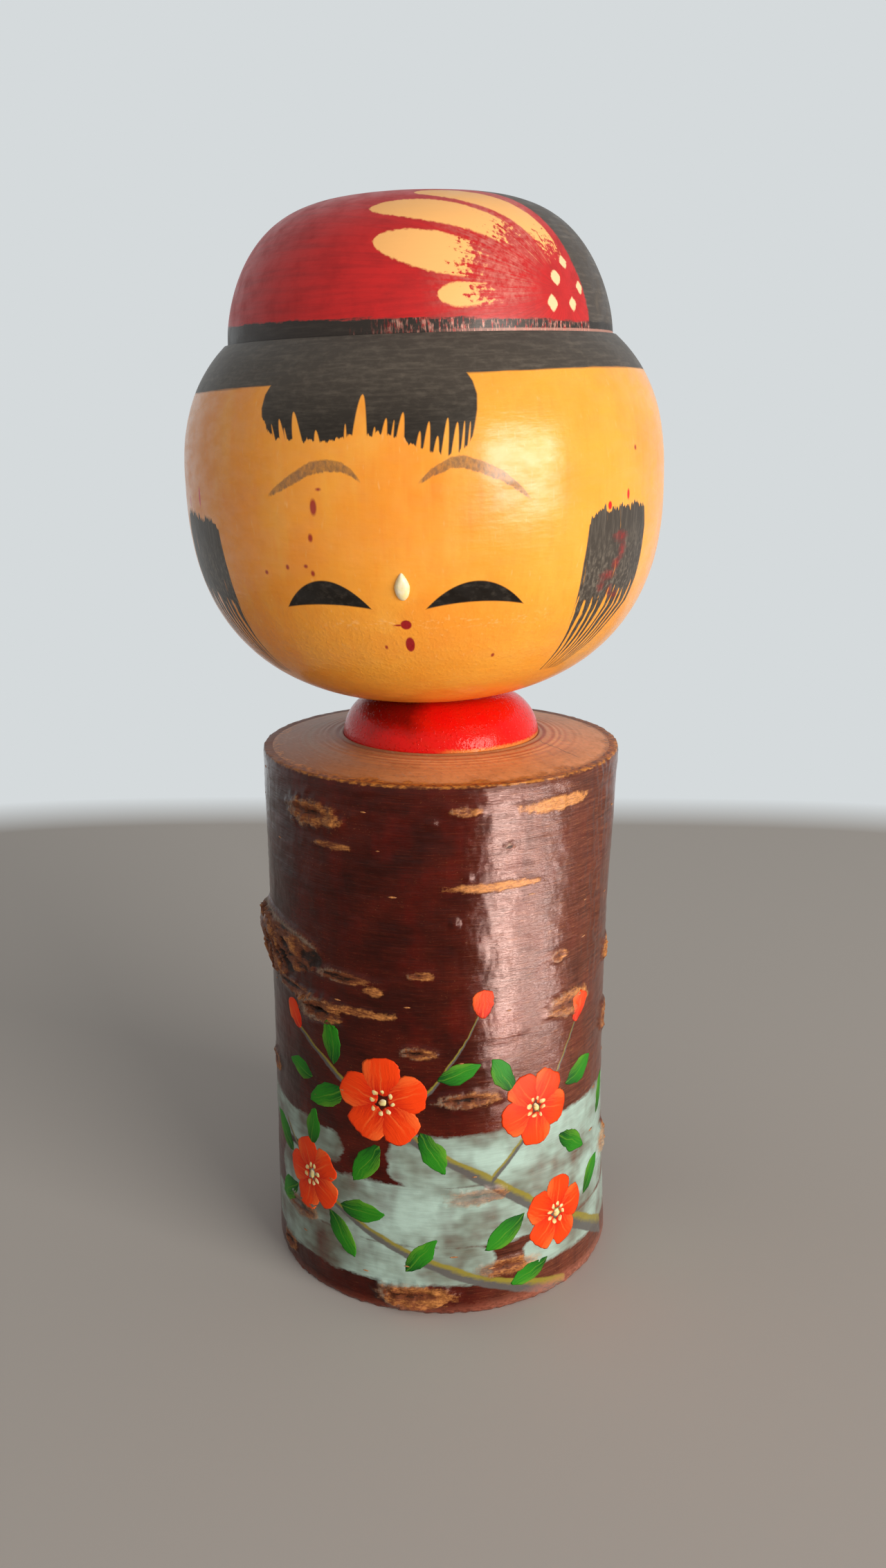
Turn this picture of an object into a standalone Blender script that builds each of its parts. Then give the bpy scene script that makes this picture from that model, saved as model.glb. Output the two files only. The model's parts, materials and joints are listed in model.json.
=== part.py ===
"""Kokeshi doll: a log body with its bark on, a turned collar, and a turned head that spins on a dowel.

The origin is the centre of the log's sawn foot, +Z is up and the doll looks towards -Y.
The dowel hole is drilled a little off plumb, so the head leans towards -X.
"""

from math import acos, asin, atan2, cos, pi, radians, sin, tan

import bmesh
import bpy
from mathutils import Euler, Matrix, Vector

MM = 0.001

# Room left between two pieces that touch
FIT_GAP = 0.3 * MM

# Log: the size over the bark, the narrowing at mid-height, and the rise of the turned top
LOG_RADIUS = 30.0 * MM
LOG_HEIGHT = 91.3 * MM
LOG_WAIST = 0.9 * MM
LOG_CROWN = 2.3 * MM
BARK_WALL = 1.6 * MM

# Stub of a side branch that stands out of the bark, below the log's rim and round towards -X
KNOT_RADIUS = 5.0 * MM
KNOT_PROUD = 2.3 * MM
KNOT_DROP = 31.0 * MM
KNOT_TURN = radians(-77)
KNOT_FULLNESS = 2.8

# Collar: a bead that sits in a shallow seat turned in the log's top
COLLAR_RADIUS = 16.1 * MM
COLLAR_LAND = 3.2 * MM
COLLAR_SIDE = 0.7 * MM
COLLAR_DOME = 5.6 * MM
COLLAR_FULLNESS = 2.4
SEAT_DEPTH = 1.5 * MM
SEAT_CLEARANCE = 0.8 * MM

# Dowel: glued in the log and the collar, and free to turn in the head
DOWEL_RADIUS = 6.0 * MM
DOWEL_IN_LOG = 32.0 * MM
DOWEL_IN_HEAD = 22.0 * MM
DOWEL_CHAMFER = 0.8 * MM
NECK_LEAN = radians(1.66)
LEAN_DROP = 43.6 * MM

# Head: a bowl below the belly and a shoulder above it
HEAD_RADIUS = 38.1 * MM
HEAD_FLAT_MARGIN = 3.0 * MM
BOWL_DEPTH = 34.2 * MM
BOWL_FULLNESS = 2.45
SHOULDER_INSET = 7.5 * MM
SHOULDER_HEIGHT = 21.1 * MM
SHOULDER_FULLNESS = 2.52

# Cap: a dome with a tenon that is glued in the top of the head
CAP_INSET = 0.55 * MM
CAP_HEIGHT = 20.7 * MM
CAP_SIDE_FULLNESS = 3.95
CAP_CROWN_FULLNESS = 1.68
TENON_RADIUS = 9.0 * MM
TENON_LENGTH = 9.0 * MM

# Nose: a raised drop of thick paint on the front of the bowl
NOSE_WIDTH = 2.3 * MM
NOSE_LENGTH = 4.2 * MM
NOSE_THICKNESS = 0.7 * MM
NOSE_FULLNESS = 2.2
NOSE_DROP = 12.5 * MM
FACE_TURN = radians(-4)

# Facets
LOG_SEGMENTS = 64
HEAD_SEGMENTS = 56
COLLAR_SEGMENTS = 40
DOWEL_SEGMENTS = 28
SMALL_SEGMENTS = 18
LOG_STEPS = 6
CURVE_STEPS = 10
WELD = 1e-7
SMOOTH_ANGLE = radians(35)

# How far a cutter runs past the face that it opens
CUTTER_OVERRUN = 5.0 * MM

# Sizes and places that follow from those above
HOLE_RADIUS = DOWEL_RADIUS + FIT_GAP
SEAT_RADIUS = COLLAR_RADIUS + SEAT_CLEARANCE
COLLAR_TOP_RADIUS = HOLE_RADIUS + COLLAR_LAND
HEAD_FLAT_RADIUS = COLLAR_TOP_RADIUS + HEAD_FLAT_MARGIN
SHOULDER_RADIUS = HEAD_RADIUS - SHOULDER_INSET
CAP_RADIUS = SHOULDER_RADIUS - CAP_INSET
KNOT_HEIGHT = LOG_HEIGHT - KNOT_DROP
CROWN_TOP = LOG_HEIGHT + LOG_CROWN
LEAN_CROSSING = CROWN_TOP - LEAN_DROP
SEAT_FLOOR = CROWN_TOP - SEAT_DEPTH
COLLAR_FOOT = SEAT_FLOOR + FIT_GAP
COLLAR_SHOULDER = CROWN_TOP + COLLAR_SIDE
COLLAR_TOP = COLLAR_SHOULDER + COLLAR_DOME
HEAD_FOOT = COLLAR_TOP + FIT_GAP + COLLAR_TOP_RADIUS * tan(NECK_LEAN)
HEAD_BELLY = HEAD_FOOT + BOWL_DEPTH
HEAD_TOP = HEAD_BELLY + SHOULDER_HEIGHT
CAP_FOOT = HEAD_TOP + FIT_GAP
HOLE_FLOOR = CROWN_TOP - DOWEL_IN_LOG
DOWEL_FOOT = HOLE_FLOOR + FIT_GAP
DOWEL_TOP = HEAD_FOOT + DOWEL_IN_HEAD


def clear_scene():
    for obj in list(bpy.data.objects):
        bpy.data.objects.remove(obj)


def finish_of(name, color, roughness):
    """A paint, wood or bark as a plain Principled material."""
    material = bpy.data.materials.new(name)
    material.use_nodes = True
    shader = material.node_tree.nodes["Principled BSDF"]
    shader.inputs["Base Color"].default_value = (*color, 1)
    shader.inputs["Roughness"].default_value = roughness
    shader.inputs["Metallic"].default_value = 0
    material.diffuse_color = (*color, 1)
    return material


def bulge(radius, end_radius, height, side_fullness, end_fullness):
    """Outline of a swelling form, from (radius, 0) to (end_radius, height).

    A fullness of 2 gives a part of an ellipse, and a larger one a squarer corner.
    """
    last = acos((end_radius / radius) ** (side_fullness / 2))
    outline = []
    for step in range(CURVE_STEPS + 1):
        angle = last * step / CURVE_STEPS
        r = radius * cos(angle) ** (2 / side_fullness)
        z = height * (sin(angle) / sin(last)) ** (2 / end_fullness)
        outline.append((r, z))
    outline[-1] = (end_radius, height)
    return outline


def raised(outline, height):
    return [(r, z + height) for r, z in outline]


def turned(name, outline, material, segments, axis=None, ring=False):
    """A solid of revolution about its own Z axis, from (radius, height) points.

    A ring's outline closes on itself; any other starts and ends on the axis.
    """
    mesh = bpy.data.meshes.new(name)
    bm = bmesh.new()
    points = [bm.verts.new((r, 0, z)) for r, z in outline]
    pairs = list(zip(points, points[1:]))
    if ring:
        pairs.append((points[-1], points[0]))
    edges = [bm.edges.new(pair) for pair in pairs]
    outline_parts = points + edges
    bmesh.ops.spin(bm, geom=outline_parts, axis=(0, 0, 1), steps=segments, angle=2 * pi, use_merge=True)
    bmesh.ops.remove_doubles(bm, verts=bm.verts, dist=WELD)
    bmesh.ops.recalc_face_normals(bm, faces=bm.faces)
    bm.to_mesh(mesh)
    bm.free()
    mesh.shade_smooth()
    mesh.set_sharp_from_angle(angle=SMOOTH_ANGLE)
    obj = bpy.data.objects.new(name, mesh)
    bpy.context.scene.collection.objects.link(obj)
    if material:
        mesh.materials.append(material)
    obj.parent = axis
    return obj


def cutter_of(obj):
    obj.hide_render = True
    obj.display_type = "WIRE"
    return obj


def cut(obj, cutter):
    modifier = obj.modifiers.new(cutter.name, "BOOLEAN")
    modifier.operation = "DIFFERENCE"
    modifier.solver = "EXACT"
    modifier.object = cutter


def log_radius(height):
    """Radius over the bark at a height: full at both ends and narrower between."""
    return LOG_RADIUS - LOG_WAIST * sin(pi * height / LOG_HEIGHT)


def log_side(inset):
    """Outline of the log's side from top to foot, this far inside the bark's face."""
    heights = [LOG_HEIGHT * (1 - step / LOG_STEPS) for step in range(LOG_STEPS + 1)]
    return [(log_radius(z) - inset, z) for z in heights]


def crown(outer_radius):
    """Outline of the turned top, from the collar's seat out to the bark."""
    outline = []
    for step in range(CURVE_STEPS // 2 + 1):
        r = SEAT_RADIUS + (outer_radius - SEAT_RADIUS) * step / (CURVE_STEPS // 2)
        share = (outer_radius**2 - r**2) / (outer_radius**2 - SEAT_RADIUS**2)
        outline.append((r, LOG_HEIGHT + LOG_CROWN * share))
    return outline


def make_log_core(drill):
    inset = BARK_WALL + FIT_GAP
    side = log_side(inset)
    outline = [(0, SEAT_FLOOR), (SEAT_RADIUS, SEAT_FLOOR), *crown(side[0][0]), *side[1:], (0, 0)]
    wood = finish_of("log_wood", (0.30, 0.15, 0.075), 0.45)
    core = turned("log_core", outline, wood, LOG_SEGMENTS)
    cut(core, drill)


def make_bark(knot_hole):
    outline = log_side(0) + log_side(BARK_WALL)[::-1]
    bark = finish_of("cherry_bark", (0.085, 0.022, 0.016), 0.35)
    sleeve = turned("bark_sleeve", outline, bark, LOG_SEGMENTS, ring=True)
    cut(sleeve, knot_hole)


def branch_axis():
    """An empty at the log's axis whose +Z points out along the side branch."""
    axis = bpy.data.objects.new("branch_axis", None)
    bpy.context.scene.collection.objects.link(axis)
    axis.location = (0, 0, KNOT_HEIGHT)
    axis.rotation_euler = Euler((pi / 2, 0, KNOT_TURN))
    return axis


def make_knot(axis):
    foot = log_radius(KNOT_HEIGHT) - BARK_WALL
    rim = log_radius(KNOT_HEIGHT)
    dome = bulge(KNOT_RADIUS, 0, KNOT_PROUD, KNOT_FULLNESS, KNOT_FULLNESS)
    outline = [(0, foot), (KNOT_RADIUS, foot), *raised(dome, rim)]
    wood = finish_of("branch_wood", (0.13, 0.05, 0.028), 0.6)
    turned("branch_knot", outline, wood, SMALL_SEGMENTS, axis)


def make_knot_hole(axis):
    """Cutter for the round hole that the branch leaves in the bark."""
    foot = log_radius(KNOT_HEIGHT) - BARK_WALL - CUTTER_OVERRUN
    head = LOG_RADIUS + CUTTER_OVERRUN
    radius = KNOT_RADIUS + FIT_GAP
    outline = [(0, head), (radius, head), (radius, foot), (0, foot)]
    return cutter_of(turned("knot_hole", outline, None, SMALL_SEGMENTS, axis))


def neck_axis():
    """An empty on the dowel's axis, at the height where that axis crosses the log's."""
    axis = bpy.data.objects.new("neck_axis", None)
    bpy.context.scene.collection.objects.link(axis)
    axis.location = (0, 0, LEAN_CROSSING)
    axis.rotation_euler = Euler((0, -NECK_LEAN, 0))
    return axis


def on_neck(outline):
    """An outline with heights above the log's foot, moved to heights along the neck's axis."""
    return raised(outline, -LEAN_CROSSING)


def make_drill(axis):
    """Cutter for the dowel's hole through the collar and into the log."""
    head = COLLAR_TOP + CUTTER_OVERRUN
    outline = [(0, head), (HOLE_RADIUS, head), (HOLE_RADIUS, HOLE_FLOOR), (0, HOLE_FLOOR)]
    return cutter_of(turned("dowel_drill", on_neck(outline), None, DOWEL_SEGMENTS, axis))


def make_collar(drill):
    dome = bulge(COLLAR_RADIUS, COLLAR_TOP_RADIUS, COLLAR_DOME, COLLAR_FULLNESS, COLLAR_FULLNESS)
    outline = [
        (0, COLLAR_FOOT),
        (COLLAR_RADIUS, COLLAR_FOOT),
        *raised(dome, COLLAR_SHOULDER),
        (0, COLLAR_TOP),
    ]
    lacquer = finish_of("red_lacquer", (0.62, 0.012, 0.010), 0.18)
    collar = turned("neck_collar", outline, lacquer, COLLAR_SEGMENTS)
    cut(collar, drill)


def make_dowel(axis):
    neck = DOWEL_RADIUS - DOWEL_CHAMFER
    outline = [
        (0, DOWEL_FOOT),
        (neck, DOWEL_FOOT),
        (DOWEL_RADIUS, DOWEL_FOOT + DOWEL_CHAMFER),
        (DOWEL_RADIUS, DOWEL_TOP - DOWEL_CHAMFER),
        (neck, DOWEL_TOP),
        (0, DOWEL_TOP),
    ]
    wood = finish_of("dowel_wood", (0.60, 0.42, 0.24), 0.6)
    turned("neck_dowel", on_neck(outline), wood, DOWEL_SEGMENTS, axis)


def make_head(axis):
    bowl = bulge(HEAD_RADIUS, HEAD_FLAT_RADIUS, -BOWL_DEPTH, BOWL_FULLNESS, BOWL_FULLNESS)
    shoulder = bulge(HEAD_RADIUS, SHOULDER_RADIUS, SHOULDER_HEIGHT, SHOULDER_FULLNESS, SHOULDER_FULLNESS)
    socket_floor = DOWEL_TOP + FIT_GAP
    mortise = TENON_RADIUS + FIT_GAP
    mortise_floor = CAP_FOOT - TENON_LENGTH - FIT_GAP
    outline = [
        (0, socket_floor),
        (HOLE_RADIUS, socket_floor),
        (HOLE_RADIUS, HEAD_FOOT),
        *raised(bowl[::-1], HEAD_BELLY),
        *raised(shoulder[1:], HEAD_BELLY),
        (mortise, HEAD_TOP),
        (mortise, mortise_floor),
        (0, mortise_floor),
    ]
    stain = finish_of("orange_stained_wood", (0.78, 0.32, 0.055), 0.28)
    turned("head_block", on_neck(outline), stain, HEAD_SEGMENTS, axis)


def make_cap(axis):
    dome = bulge(CAP_RADIUS, 0, CAP_HEIGHT, CAP_SIDE_FULLNESS, CAP_CROWN_FULLNESS)
    tenon_foot = CAP_FOOT - TENON_LENGTH
    outline = [
        (0, tenon_foot),
        (TENON_RADIUS, tenon_foot),
        (TENON_RADIUS, CAP_FOOT),
        *raised(dome, CAP_FOOT),
    ]
    paint = finish_of("red_cap_paint", (0.45, 0.030, 0.028), 0.35)
    turned("head_cap", on_neck(outline), paint, HEAD_SEGMENTS, axis)


def bowl_radius(drop):
    """Radius of the head this far below its belly."""
    power = BOWL_FULLNESS / 2
    last = acos((HEAD_FLAT_RADIUS / HEAD_RADIUS) ** power)
    angle = asin((drop / BOWL_DEPTH) ** power * sin(last))
    return HEAD_RADIUS * cos(angle) ** (1 / power)


def make_nose(axis):
    outline = [(0, 0), *bulge(NOSE_WIDTH / 2, 0, NOSE_THICKNESS, NOSE_FULLNESS, NOSE_FULLNESS)]
    white = finish_of("white_paint", (0.80, 0.72, 0.60), 0.4)
    nose = turned("nose_drop", outline, white, SMALL_SEGMENTS, axis)
    nose.data.transform(Matrix.Diagonal((1, NOSE_LENGTH / NOSE_WIDTH, 1, 1)))
    # The drop's back lies along the bowl, which draws in towards the neck.
    reach = NOSE_LENGTH / 2
    narrowing = bowl_radius(NOSE_DROP - reach) - bowl_radius(NOSE_DROP + reach)
    pitch = atan2(narrowing, NOSE_LENGTH)
    face = Matrix.Rotation(FACE_TURN, 4, "Z")
    seat = Vector((0, -bowl_radius(NOSE_DROP), HEAD_BELLY - NOSE_DROP - LEAN_CROSSING))
    lie = Matrix.Rotation(pi / 2 + pitch, 4, "X")
    nose.matrix_local = face @ Matrix.Translation(seat) @ lie @ Matrix.Translation((0, 0, FIT_GAP))


def main():
    clear_scene()
    branch = branch_axis()
    neck = neck_axis()
    drill = make_drill(neck)
    make_log_core(drill)
    make_bark(make_knot_hole(branch))
    make_knot(branch)
    make_collar(drill)
    make_dowel(neck)
    make_head(neck)
    make_cap(neck)
    make_nose(neck)


main()
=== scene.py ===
"""Dresses a kokeshi doll: a painted head on a lacquered collar, and a log body with its bark on.

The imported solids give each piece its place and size. Lengths of meshes are in metres. Paint is laid out
in millimetres: u runs round a piece from the middle of its front, z runs up from the log's foot.
"""

import json
from math import atan2, cos, hypot, pi, radians, sin, tan
from typing import NamedTuple

import bmesh
import bpy
import numpy as np
from bpy.props import FloatProperty, FloatVectorProperty, IntProperty, PointerProperty
from bpy.types import NodeSocket, Operator, Panel, PropertyGroup
from mathutils import Matrix, Vector, noise


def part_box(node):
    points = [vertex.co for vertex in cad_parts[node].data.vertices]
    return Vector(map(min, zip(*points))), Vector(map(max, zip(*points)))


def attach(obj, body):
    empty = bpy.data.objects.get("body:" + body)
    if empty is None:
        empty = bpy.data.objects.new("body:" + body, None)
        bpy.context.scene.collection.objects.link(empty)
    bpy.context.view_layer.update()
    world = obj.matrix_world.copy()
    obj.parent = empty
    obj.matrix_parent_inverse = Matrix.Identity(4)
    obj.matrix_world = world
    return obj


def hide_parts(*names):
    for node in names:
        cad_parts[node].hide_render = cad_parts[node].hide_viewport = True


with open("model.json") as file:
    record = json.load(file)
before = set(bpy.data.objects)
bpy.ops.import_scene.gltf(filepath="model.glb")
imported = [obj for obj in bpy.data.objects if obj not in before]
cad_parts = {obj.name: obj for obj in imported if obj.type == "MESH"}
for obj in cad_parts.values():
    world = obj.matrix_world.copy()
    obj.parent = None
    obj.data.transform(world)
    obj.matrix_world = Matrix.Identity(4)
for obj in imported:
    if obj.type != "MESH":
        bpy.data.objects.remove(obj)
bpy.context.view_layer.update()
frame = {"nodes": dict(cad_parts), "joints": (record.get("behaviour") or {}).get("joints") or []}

bl_info = {
    "name": "Kokeshi doll",
    "version": (1, 0, 0),
    "blender": (4, 5, 0),
    "location": "3D View > Sidebar > Doll",
    "description": "Dresses a turned and painted doll with a bark-covered log body",
    "category": "Object",
}

MM = 0.001

# The head was turned about the dowel's line, which leans a little off plumb
JOINT = frame["joints"][0]
NECK_LINE = Vector(JOINT["axis"]).normalized()
NECK_LEAN = atan2(-NECK_LINE.x, NECK_LINE.z)
NECK_FOOT = Vector(JOINT["pos_m"]) - NECK_LINE * JOINT["pos_m"][2]
NECK = Matrix.Translation(NECK_FOOT) @ Matrix.Rotation(-NECK_LEAN, 4, "Y")
PLUMB = Matrix.Identity(4)

# Two rings of a solid closer than this are one
SAME_LEVEL = 0.03 * MM
# The rings of the head's outside are wider than this, and those of its bore and mortise narrower
HEAD_INSIDE = 10 * MM
# Depth of the waist that the log and its bark have at mid-height
CORE_WAIST = 0.9 * MM


def rings_of(node, placing):
    """Widest radius and height of each ring of a turned solid, from its foot up."""
    to_axis = placing.inverted()
    places = [to_axis @ vertex.co for vertex in frame["nodes"][node].data.vertices]
    rings = []
    for height, radius in sorted((p.z, hypot(p.x, p.y)) for p in places):
        if rings and height - rings[-1][1] < SAME_LEVEL:
            rings[-1] = (max(rings[-1][0], radius), rings[-1][1])
        else:
            rings.append((radius, height))
    return rings


HEAD_RINGS = rings_of("head_block", NECK)
CAP_RINGS = rings_of("head_cap", NECK)
BORE_RADIUS = min(r for r, _ in HEAD_RINGS if r > 1 * MM)
HEAD_RADIUS = max(r for r, _ in HEAD_RINGS)
CAP_RADIUS = max(r for r, _ in CAP_RINGS)
CAP_FOOT = next(z for r, z in CAP_RINGS if r == CAP_RADIUS)
LOG_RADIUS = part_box("bark_sleeve")[1].x
LOG_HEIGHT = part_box("bark_sleeve")[1].z
LOG_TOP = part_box("log_core")[1].z


def smooth_path(points, spacing):
    """A smooth curve through the points, with a point about every spacing."""
    points = np.array(points)
    along = np.r_[0, np.cumsum(np.linalg.norm(np.diff(points, axis=0), axis=1))]
    slope = np.gradient(points, along, axis=0)
    samples = np.linspace(0, along[-1], int(along[-1] / spacing) + 2)
    span = np.clip(np.searchsorted(along, samples, side="right") - 1, 0, len(along) - 2)
    reach = (along[span + 1] - along[span])[:, None]
    t = (samples - along[span])[:, None] / reach
    ahead = t * t * (3 - 2 * t)
    leave = t * (1 - t) ** 2 * reach * slope[span]
    arrive = t * t * (t - 1) * reach * slope[span + 1]
    return points[span] * (1 - ahead) + points[span + 1] * ahead + leave + arrive


def neck_shift(height):
    """How far the dowel's line lies to the side of the log's axis at this height."""
    return -tan(NECK_LEAN) * (height - JOINT["pos_m"][2])


def srgb(*screen):
    """A colour of 0 to 255 on the screen as scene-linear values."""
    return tuple(((c / 255 + 0.055) / 1.055) ** 2.4 if c > 10 else c / 255 / 12.92 for c in screen)


def colour(name, description, *screen):
    return FloatVectorProperty(
        name=name, description=description, subtype="COLOR", size=3, min=0, max=1, default=srgb(*screen)
    )


def length(name, description, millimetres):
    return FloatProperty(
        name=name, description=description, unit="LENGTH", subtype="DISTANCE", default=millimetres * MM
    )


def count(name, description, default, least, most):
    return IntProperty(name=name, description=description, default=default, min=least, max=most)


def lamp_power(name, description, watts):
    return FloatProperty(name=name, description=description, unit="POWER", default=watts)


class DollPaints(PropertyGroup):
    """Colours of the doll's woods, barks, paints and lacquer."""

    wood: colour("Head wood", "Varnished orange wood of the head", 252, 168, 58)
    wood_light: colour("Light wood", "Where the head's stain lies thin", 255, 182, 74)
    # Also laid over the left side of the head as painted shade
    stain: colour("Deep stain", "Where the orange stain lies thicker", 244, 134, 30)
    hair: colour("Hair", "Black paint of the hair", 66, 58, 51)
    # Also laid stronger towards the top of the hair band as painted sheen
    hair_worn: colour("Worn hair", "Hair paint where the brush ran dry", 130, 118, 104)
    eye: colour("Eye", "Black paint of the closed eyes", 16, 10, 7)
    brow: colour("Brow", "Thin grey-brown paint of the brows", 98, 76, 58)
    lip: colour("Lip", "Dark red of the mouth and of stray drops", 158, 22, 26)
    nose: colour("Nose", "Thick cream paint of the nose", 255, 240, 214)
    cap: colour("Cap", "Red paint of the cap", 198, 34, 34)
    cap_deep: colour("Deep cap", "Darker brush streaks in the cap's red", 140, 24, 27)
    petal: colour("Cap petals", "Bare wood of the petals on the cap", 254, 188, 112)
    cap_bare: colour("Bare cap", "Pale wood where the cap's black line is rubbed", 236, 170, 150)
    cap_dot: colour("Cap dots", "Cream dots at the heart of the cap's flower", 246, 206, 154)
    collar: colour("Collar", "Red lacquer of the collar", 222, 12, 8)
    # Painted shade: darker lacquer laid where the head shades the collar and shows dark in its gloss
    collar_painted_shade: colour("Dark collar", "Smoky lacquer under the head", 92, 8, 6)
    log: colour("Log top", "Waxed brown end of the log", 236, 166, 108)
    # Painted sheen: pale rings laid on the left of the log's top; the same colour also draws real pale
    # scratches
    log_sheen: colour("Log sheen", "Dull pale rings in the wax of the log's top", 186, 166, 146)
    # Also laid towards the left of the log's top as painted shade
    log_deep_and_shade: colour("Deep log", "Dark turning marks in the log's top", 126, 76, 48)
    rim: colour("Worn rim", "Golden edge where the top meets the bark", 214, 138, 62)
    bark: colour("Bark", "Dark red-brown bark", 46, 10, 6)
    bark_warm: colour("Warm bark", "Lighter red-brown bark", 92, 26, 15)
    bark_tan: colour("Tan bark", "Paler brown where the bark turns to the light", 126, 72, 52)
    bark_red: colour("Red bark", "Clear red where the varnish lies deep", 122, 16, 10)
    # Also scattered as gold specks that stand for painted glints
    bark_streaks_and_glints: colour("Bark streaks", "Fine golden streaks in the bark", 186, 118, 70)
    bark_edge: colour("Bark edge", "Red-brown cut edges of the bark", 150, 74, 52)
    crack: colour("Cracks", "Black cracks in cork and torn bark", 26, 13, 9)
    cork: colour("Cork", "Pale cork of the marks in the bark", 218, 144, 76)
    cork_deep: colour("Deep cork", "Brown cork of the marks in the bark", 108, 56, 32)
    cork_grey: colour("Grey cork", "Weathered fibres on the lips of the marks", 152, 138, 118)
    foot_worn: colour("Worn foot", "Bark rubbed pink along the foot", 204, 132, 108)
    mist: colour("Mist", "Pale sea-green wash on the bark", 176, 200, 186)
    mist_deep: colour("Deep mist", "Grey-green wash on the bark", 122, 132, 116)
    branch: colour("Painted branch", "Grey paint of the branch", 92, 88, 84)
    branch_gold: colour("Branch light", "Olive gold on the upper side of the branch", 142, 128, 48)
    flower: colour("Flowers", "Vermilion paint of the flowers", 246, 66, 14)
    flower_deep: colour("Flower hearts", "Deeper red at the foot of each petal", 206, 34, 10)
    flower_light: colour("Flower edges", "Orange that the brush carried on one side", 255, 120, 52)
    leaf: colour("Leaves", "Green paint of the leaves", 44, 128, 26)
    leaf_deep: colour("Deep leaves", "Dark green at the foot of each leaf", 20, 74, 22)
    leaf_light: colour("Leaf edges", "Yellow-green that the brush carried on one side", 112, 160, 44)
    stamen: colour("Stamens", "Cream dots in the flowers", 248, 226, 150)
    dowel: colour("Dowel", "Bare wood of the dowel", 206, 172, 126)


class DollSizes(PropertyGroup):
    """Sizes of the finer work on the doll."""

    lathe_columns: count("Lathe columns", "Facets round a turned piece", 300, 24, 600)
    bark_columns: count("Bark columns", "Facets round the bark", 420, 60, 480)
    bark_rows: count("Bark rows", "Facets up the bark", 200, 40, 220)
    lathe_step: length("Lathe step", "Spacing of the rings of a turned piece", 0.6)
    lathe_wobble: length("Lathe wobble", "Unevenness that a hand tool leaves in turned wood", 0.06)
    groove: length("Groove", "Depth of the turning grooves in the log's top", 0.14)
    bark_wall: length("Bark wall", "Thickness of the bark", 1.6)
    bark_swell: length("Bark swell", "Slow unevenness of the bark", 0.22)
    paint_rise: length("Paint rise", "Thickness of the dabs of paint on the bark", 0.1)
    fleck_length: length("Fleck length", "Length of the small cork flecks in the bark", 1.4)
    flower_radius: length("Flower radius", "Reach of a painted flower", 6.6)


class DollStage(PropertyGroup):
    """Camera, lamps and floor."""

    camera_place: FloatVectorProperty(
        name="Camera",
        description="Place of the lens",
        subtype="TRANSLATION",
        default=(0.00436, -0.228, 0.1469),
    )
    camera_turn: FloatVectorProperty(
        name="Camera turn",
        description="Turn of the camera",
        subtype="EULER",
        default=(pi / 2 - 0.2711, 0.0021, 0.0171),
    )
    camera_lens: FloatProperty(
        name="Lens", description="Focal length in millimetres", subtype="DISTANCE_CAMERA", default=31.71
    )
    window_power: lamp_power("Window", "Power of the large lamp on the right", 21.0)
    fill_power: lamp_power("Fill", "Power of the weak lamp on the left", 0.85)
    low_power: lamp_power("Low fill", "Power of the weak lamp low in front", 0.8)
    sheen_power: lamp_power("Sheen", "Power of the low cards that only varnish shows", 0.018)
    sky: colour("Surroundings", "Light from all round", 236, 238, 240)
    sky_strength: FloatProperty(
        name="Surroundings strength", description="Strength of the light from all round", default=0.34
    )
    floor: colour("Floor", "Pale floor", 203, 195, 186)
    backdrop: colour("Backdrop", "Pale ground behind the doll", 213, 218, 220)
    floor_near: length("Near floor", "Where the floor starts to fade into the backdrop", 246.0)
    floor_far: length("Far floor", "Where the floor has faded into the backdrop", 282.0)


class Value:
    """A number that varies over a tree; arithmetic on it adds Math nodes."""

    def __init__(self, nodes, socket):
        self.nodes = nodes
        self.socket = socket

    def __add__(self, other):
        return self.nodes.math("ADD", self, other)

    __radd__ = __add__

    def __sub__(self, other):
        return self.nodes.math("SUBTRACT", self, other)

    def __rsub__(self, other):
        return self.nodes.math("SUBTRACT", other, self)

    def __mul__(self, other):
        return self.nodes.math("MULTIPLY", self, other)

    __rmul__ = __mul__

    def __truediv__(self, other):
        return self.nodes.math("DIVIDE", self, other)

    def __rtruediv__(self, other):
        return self.nodes.math("DIVIDE", other, self)

    def __mod__(self, other):
        return self.nodes.math("MODULO", self, other)

    def __pow__(self, other):
        return self.nodes.math("POWER", self, other)

    def __neg__(self):
        return self.nodes.math("MULTIPLY", self, -1.0)

    def __abs__(self):
        return self.nodes.math("ABSOLUTE", self)

    def __or__(self, other):
        return self.nodes.math("MAXIMUM", self, other)

    __ror__ = __or__

    def __and__(self, other):
        return self.nodes.math("MINIMUM", self, other)

    __rand__ = __and__


def socket_of(sockets, key):
    """A socket by its number, its identifier or its name."""
    if isinstance(key, int):
        return sockets[key]
    return next(s for s in sockets if s.enabled and key in (s.identifier, s.name))


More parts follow.
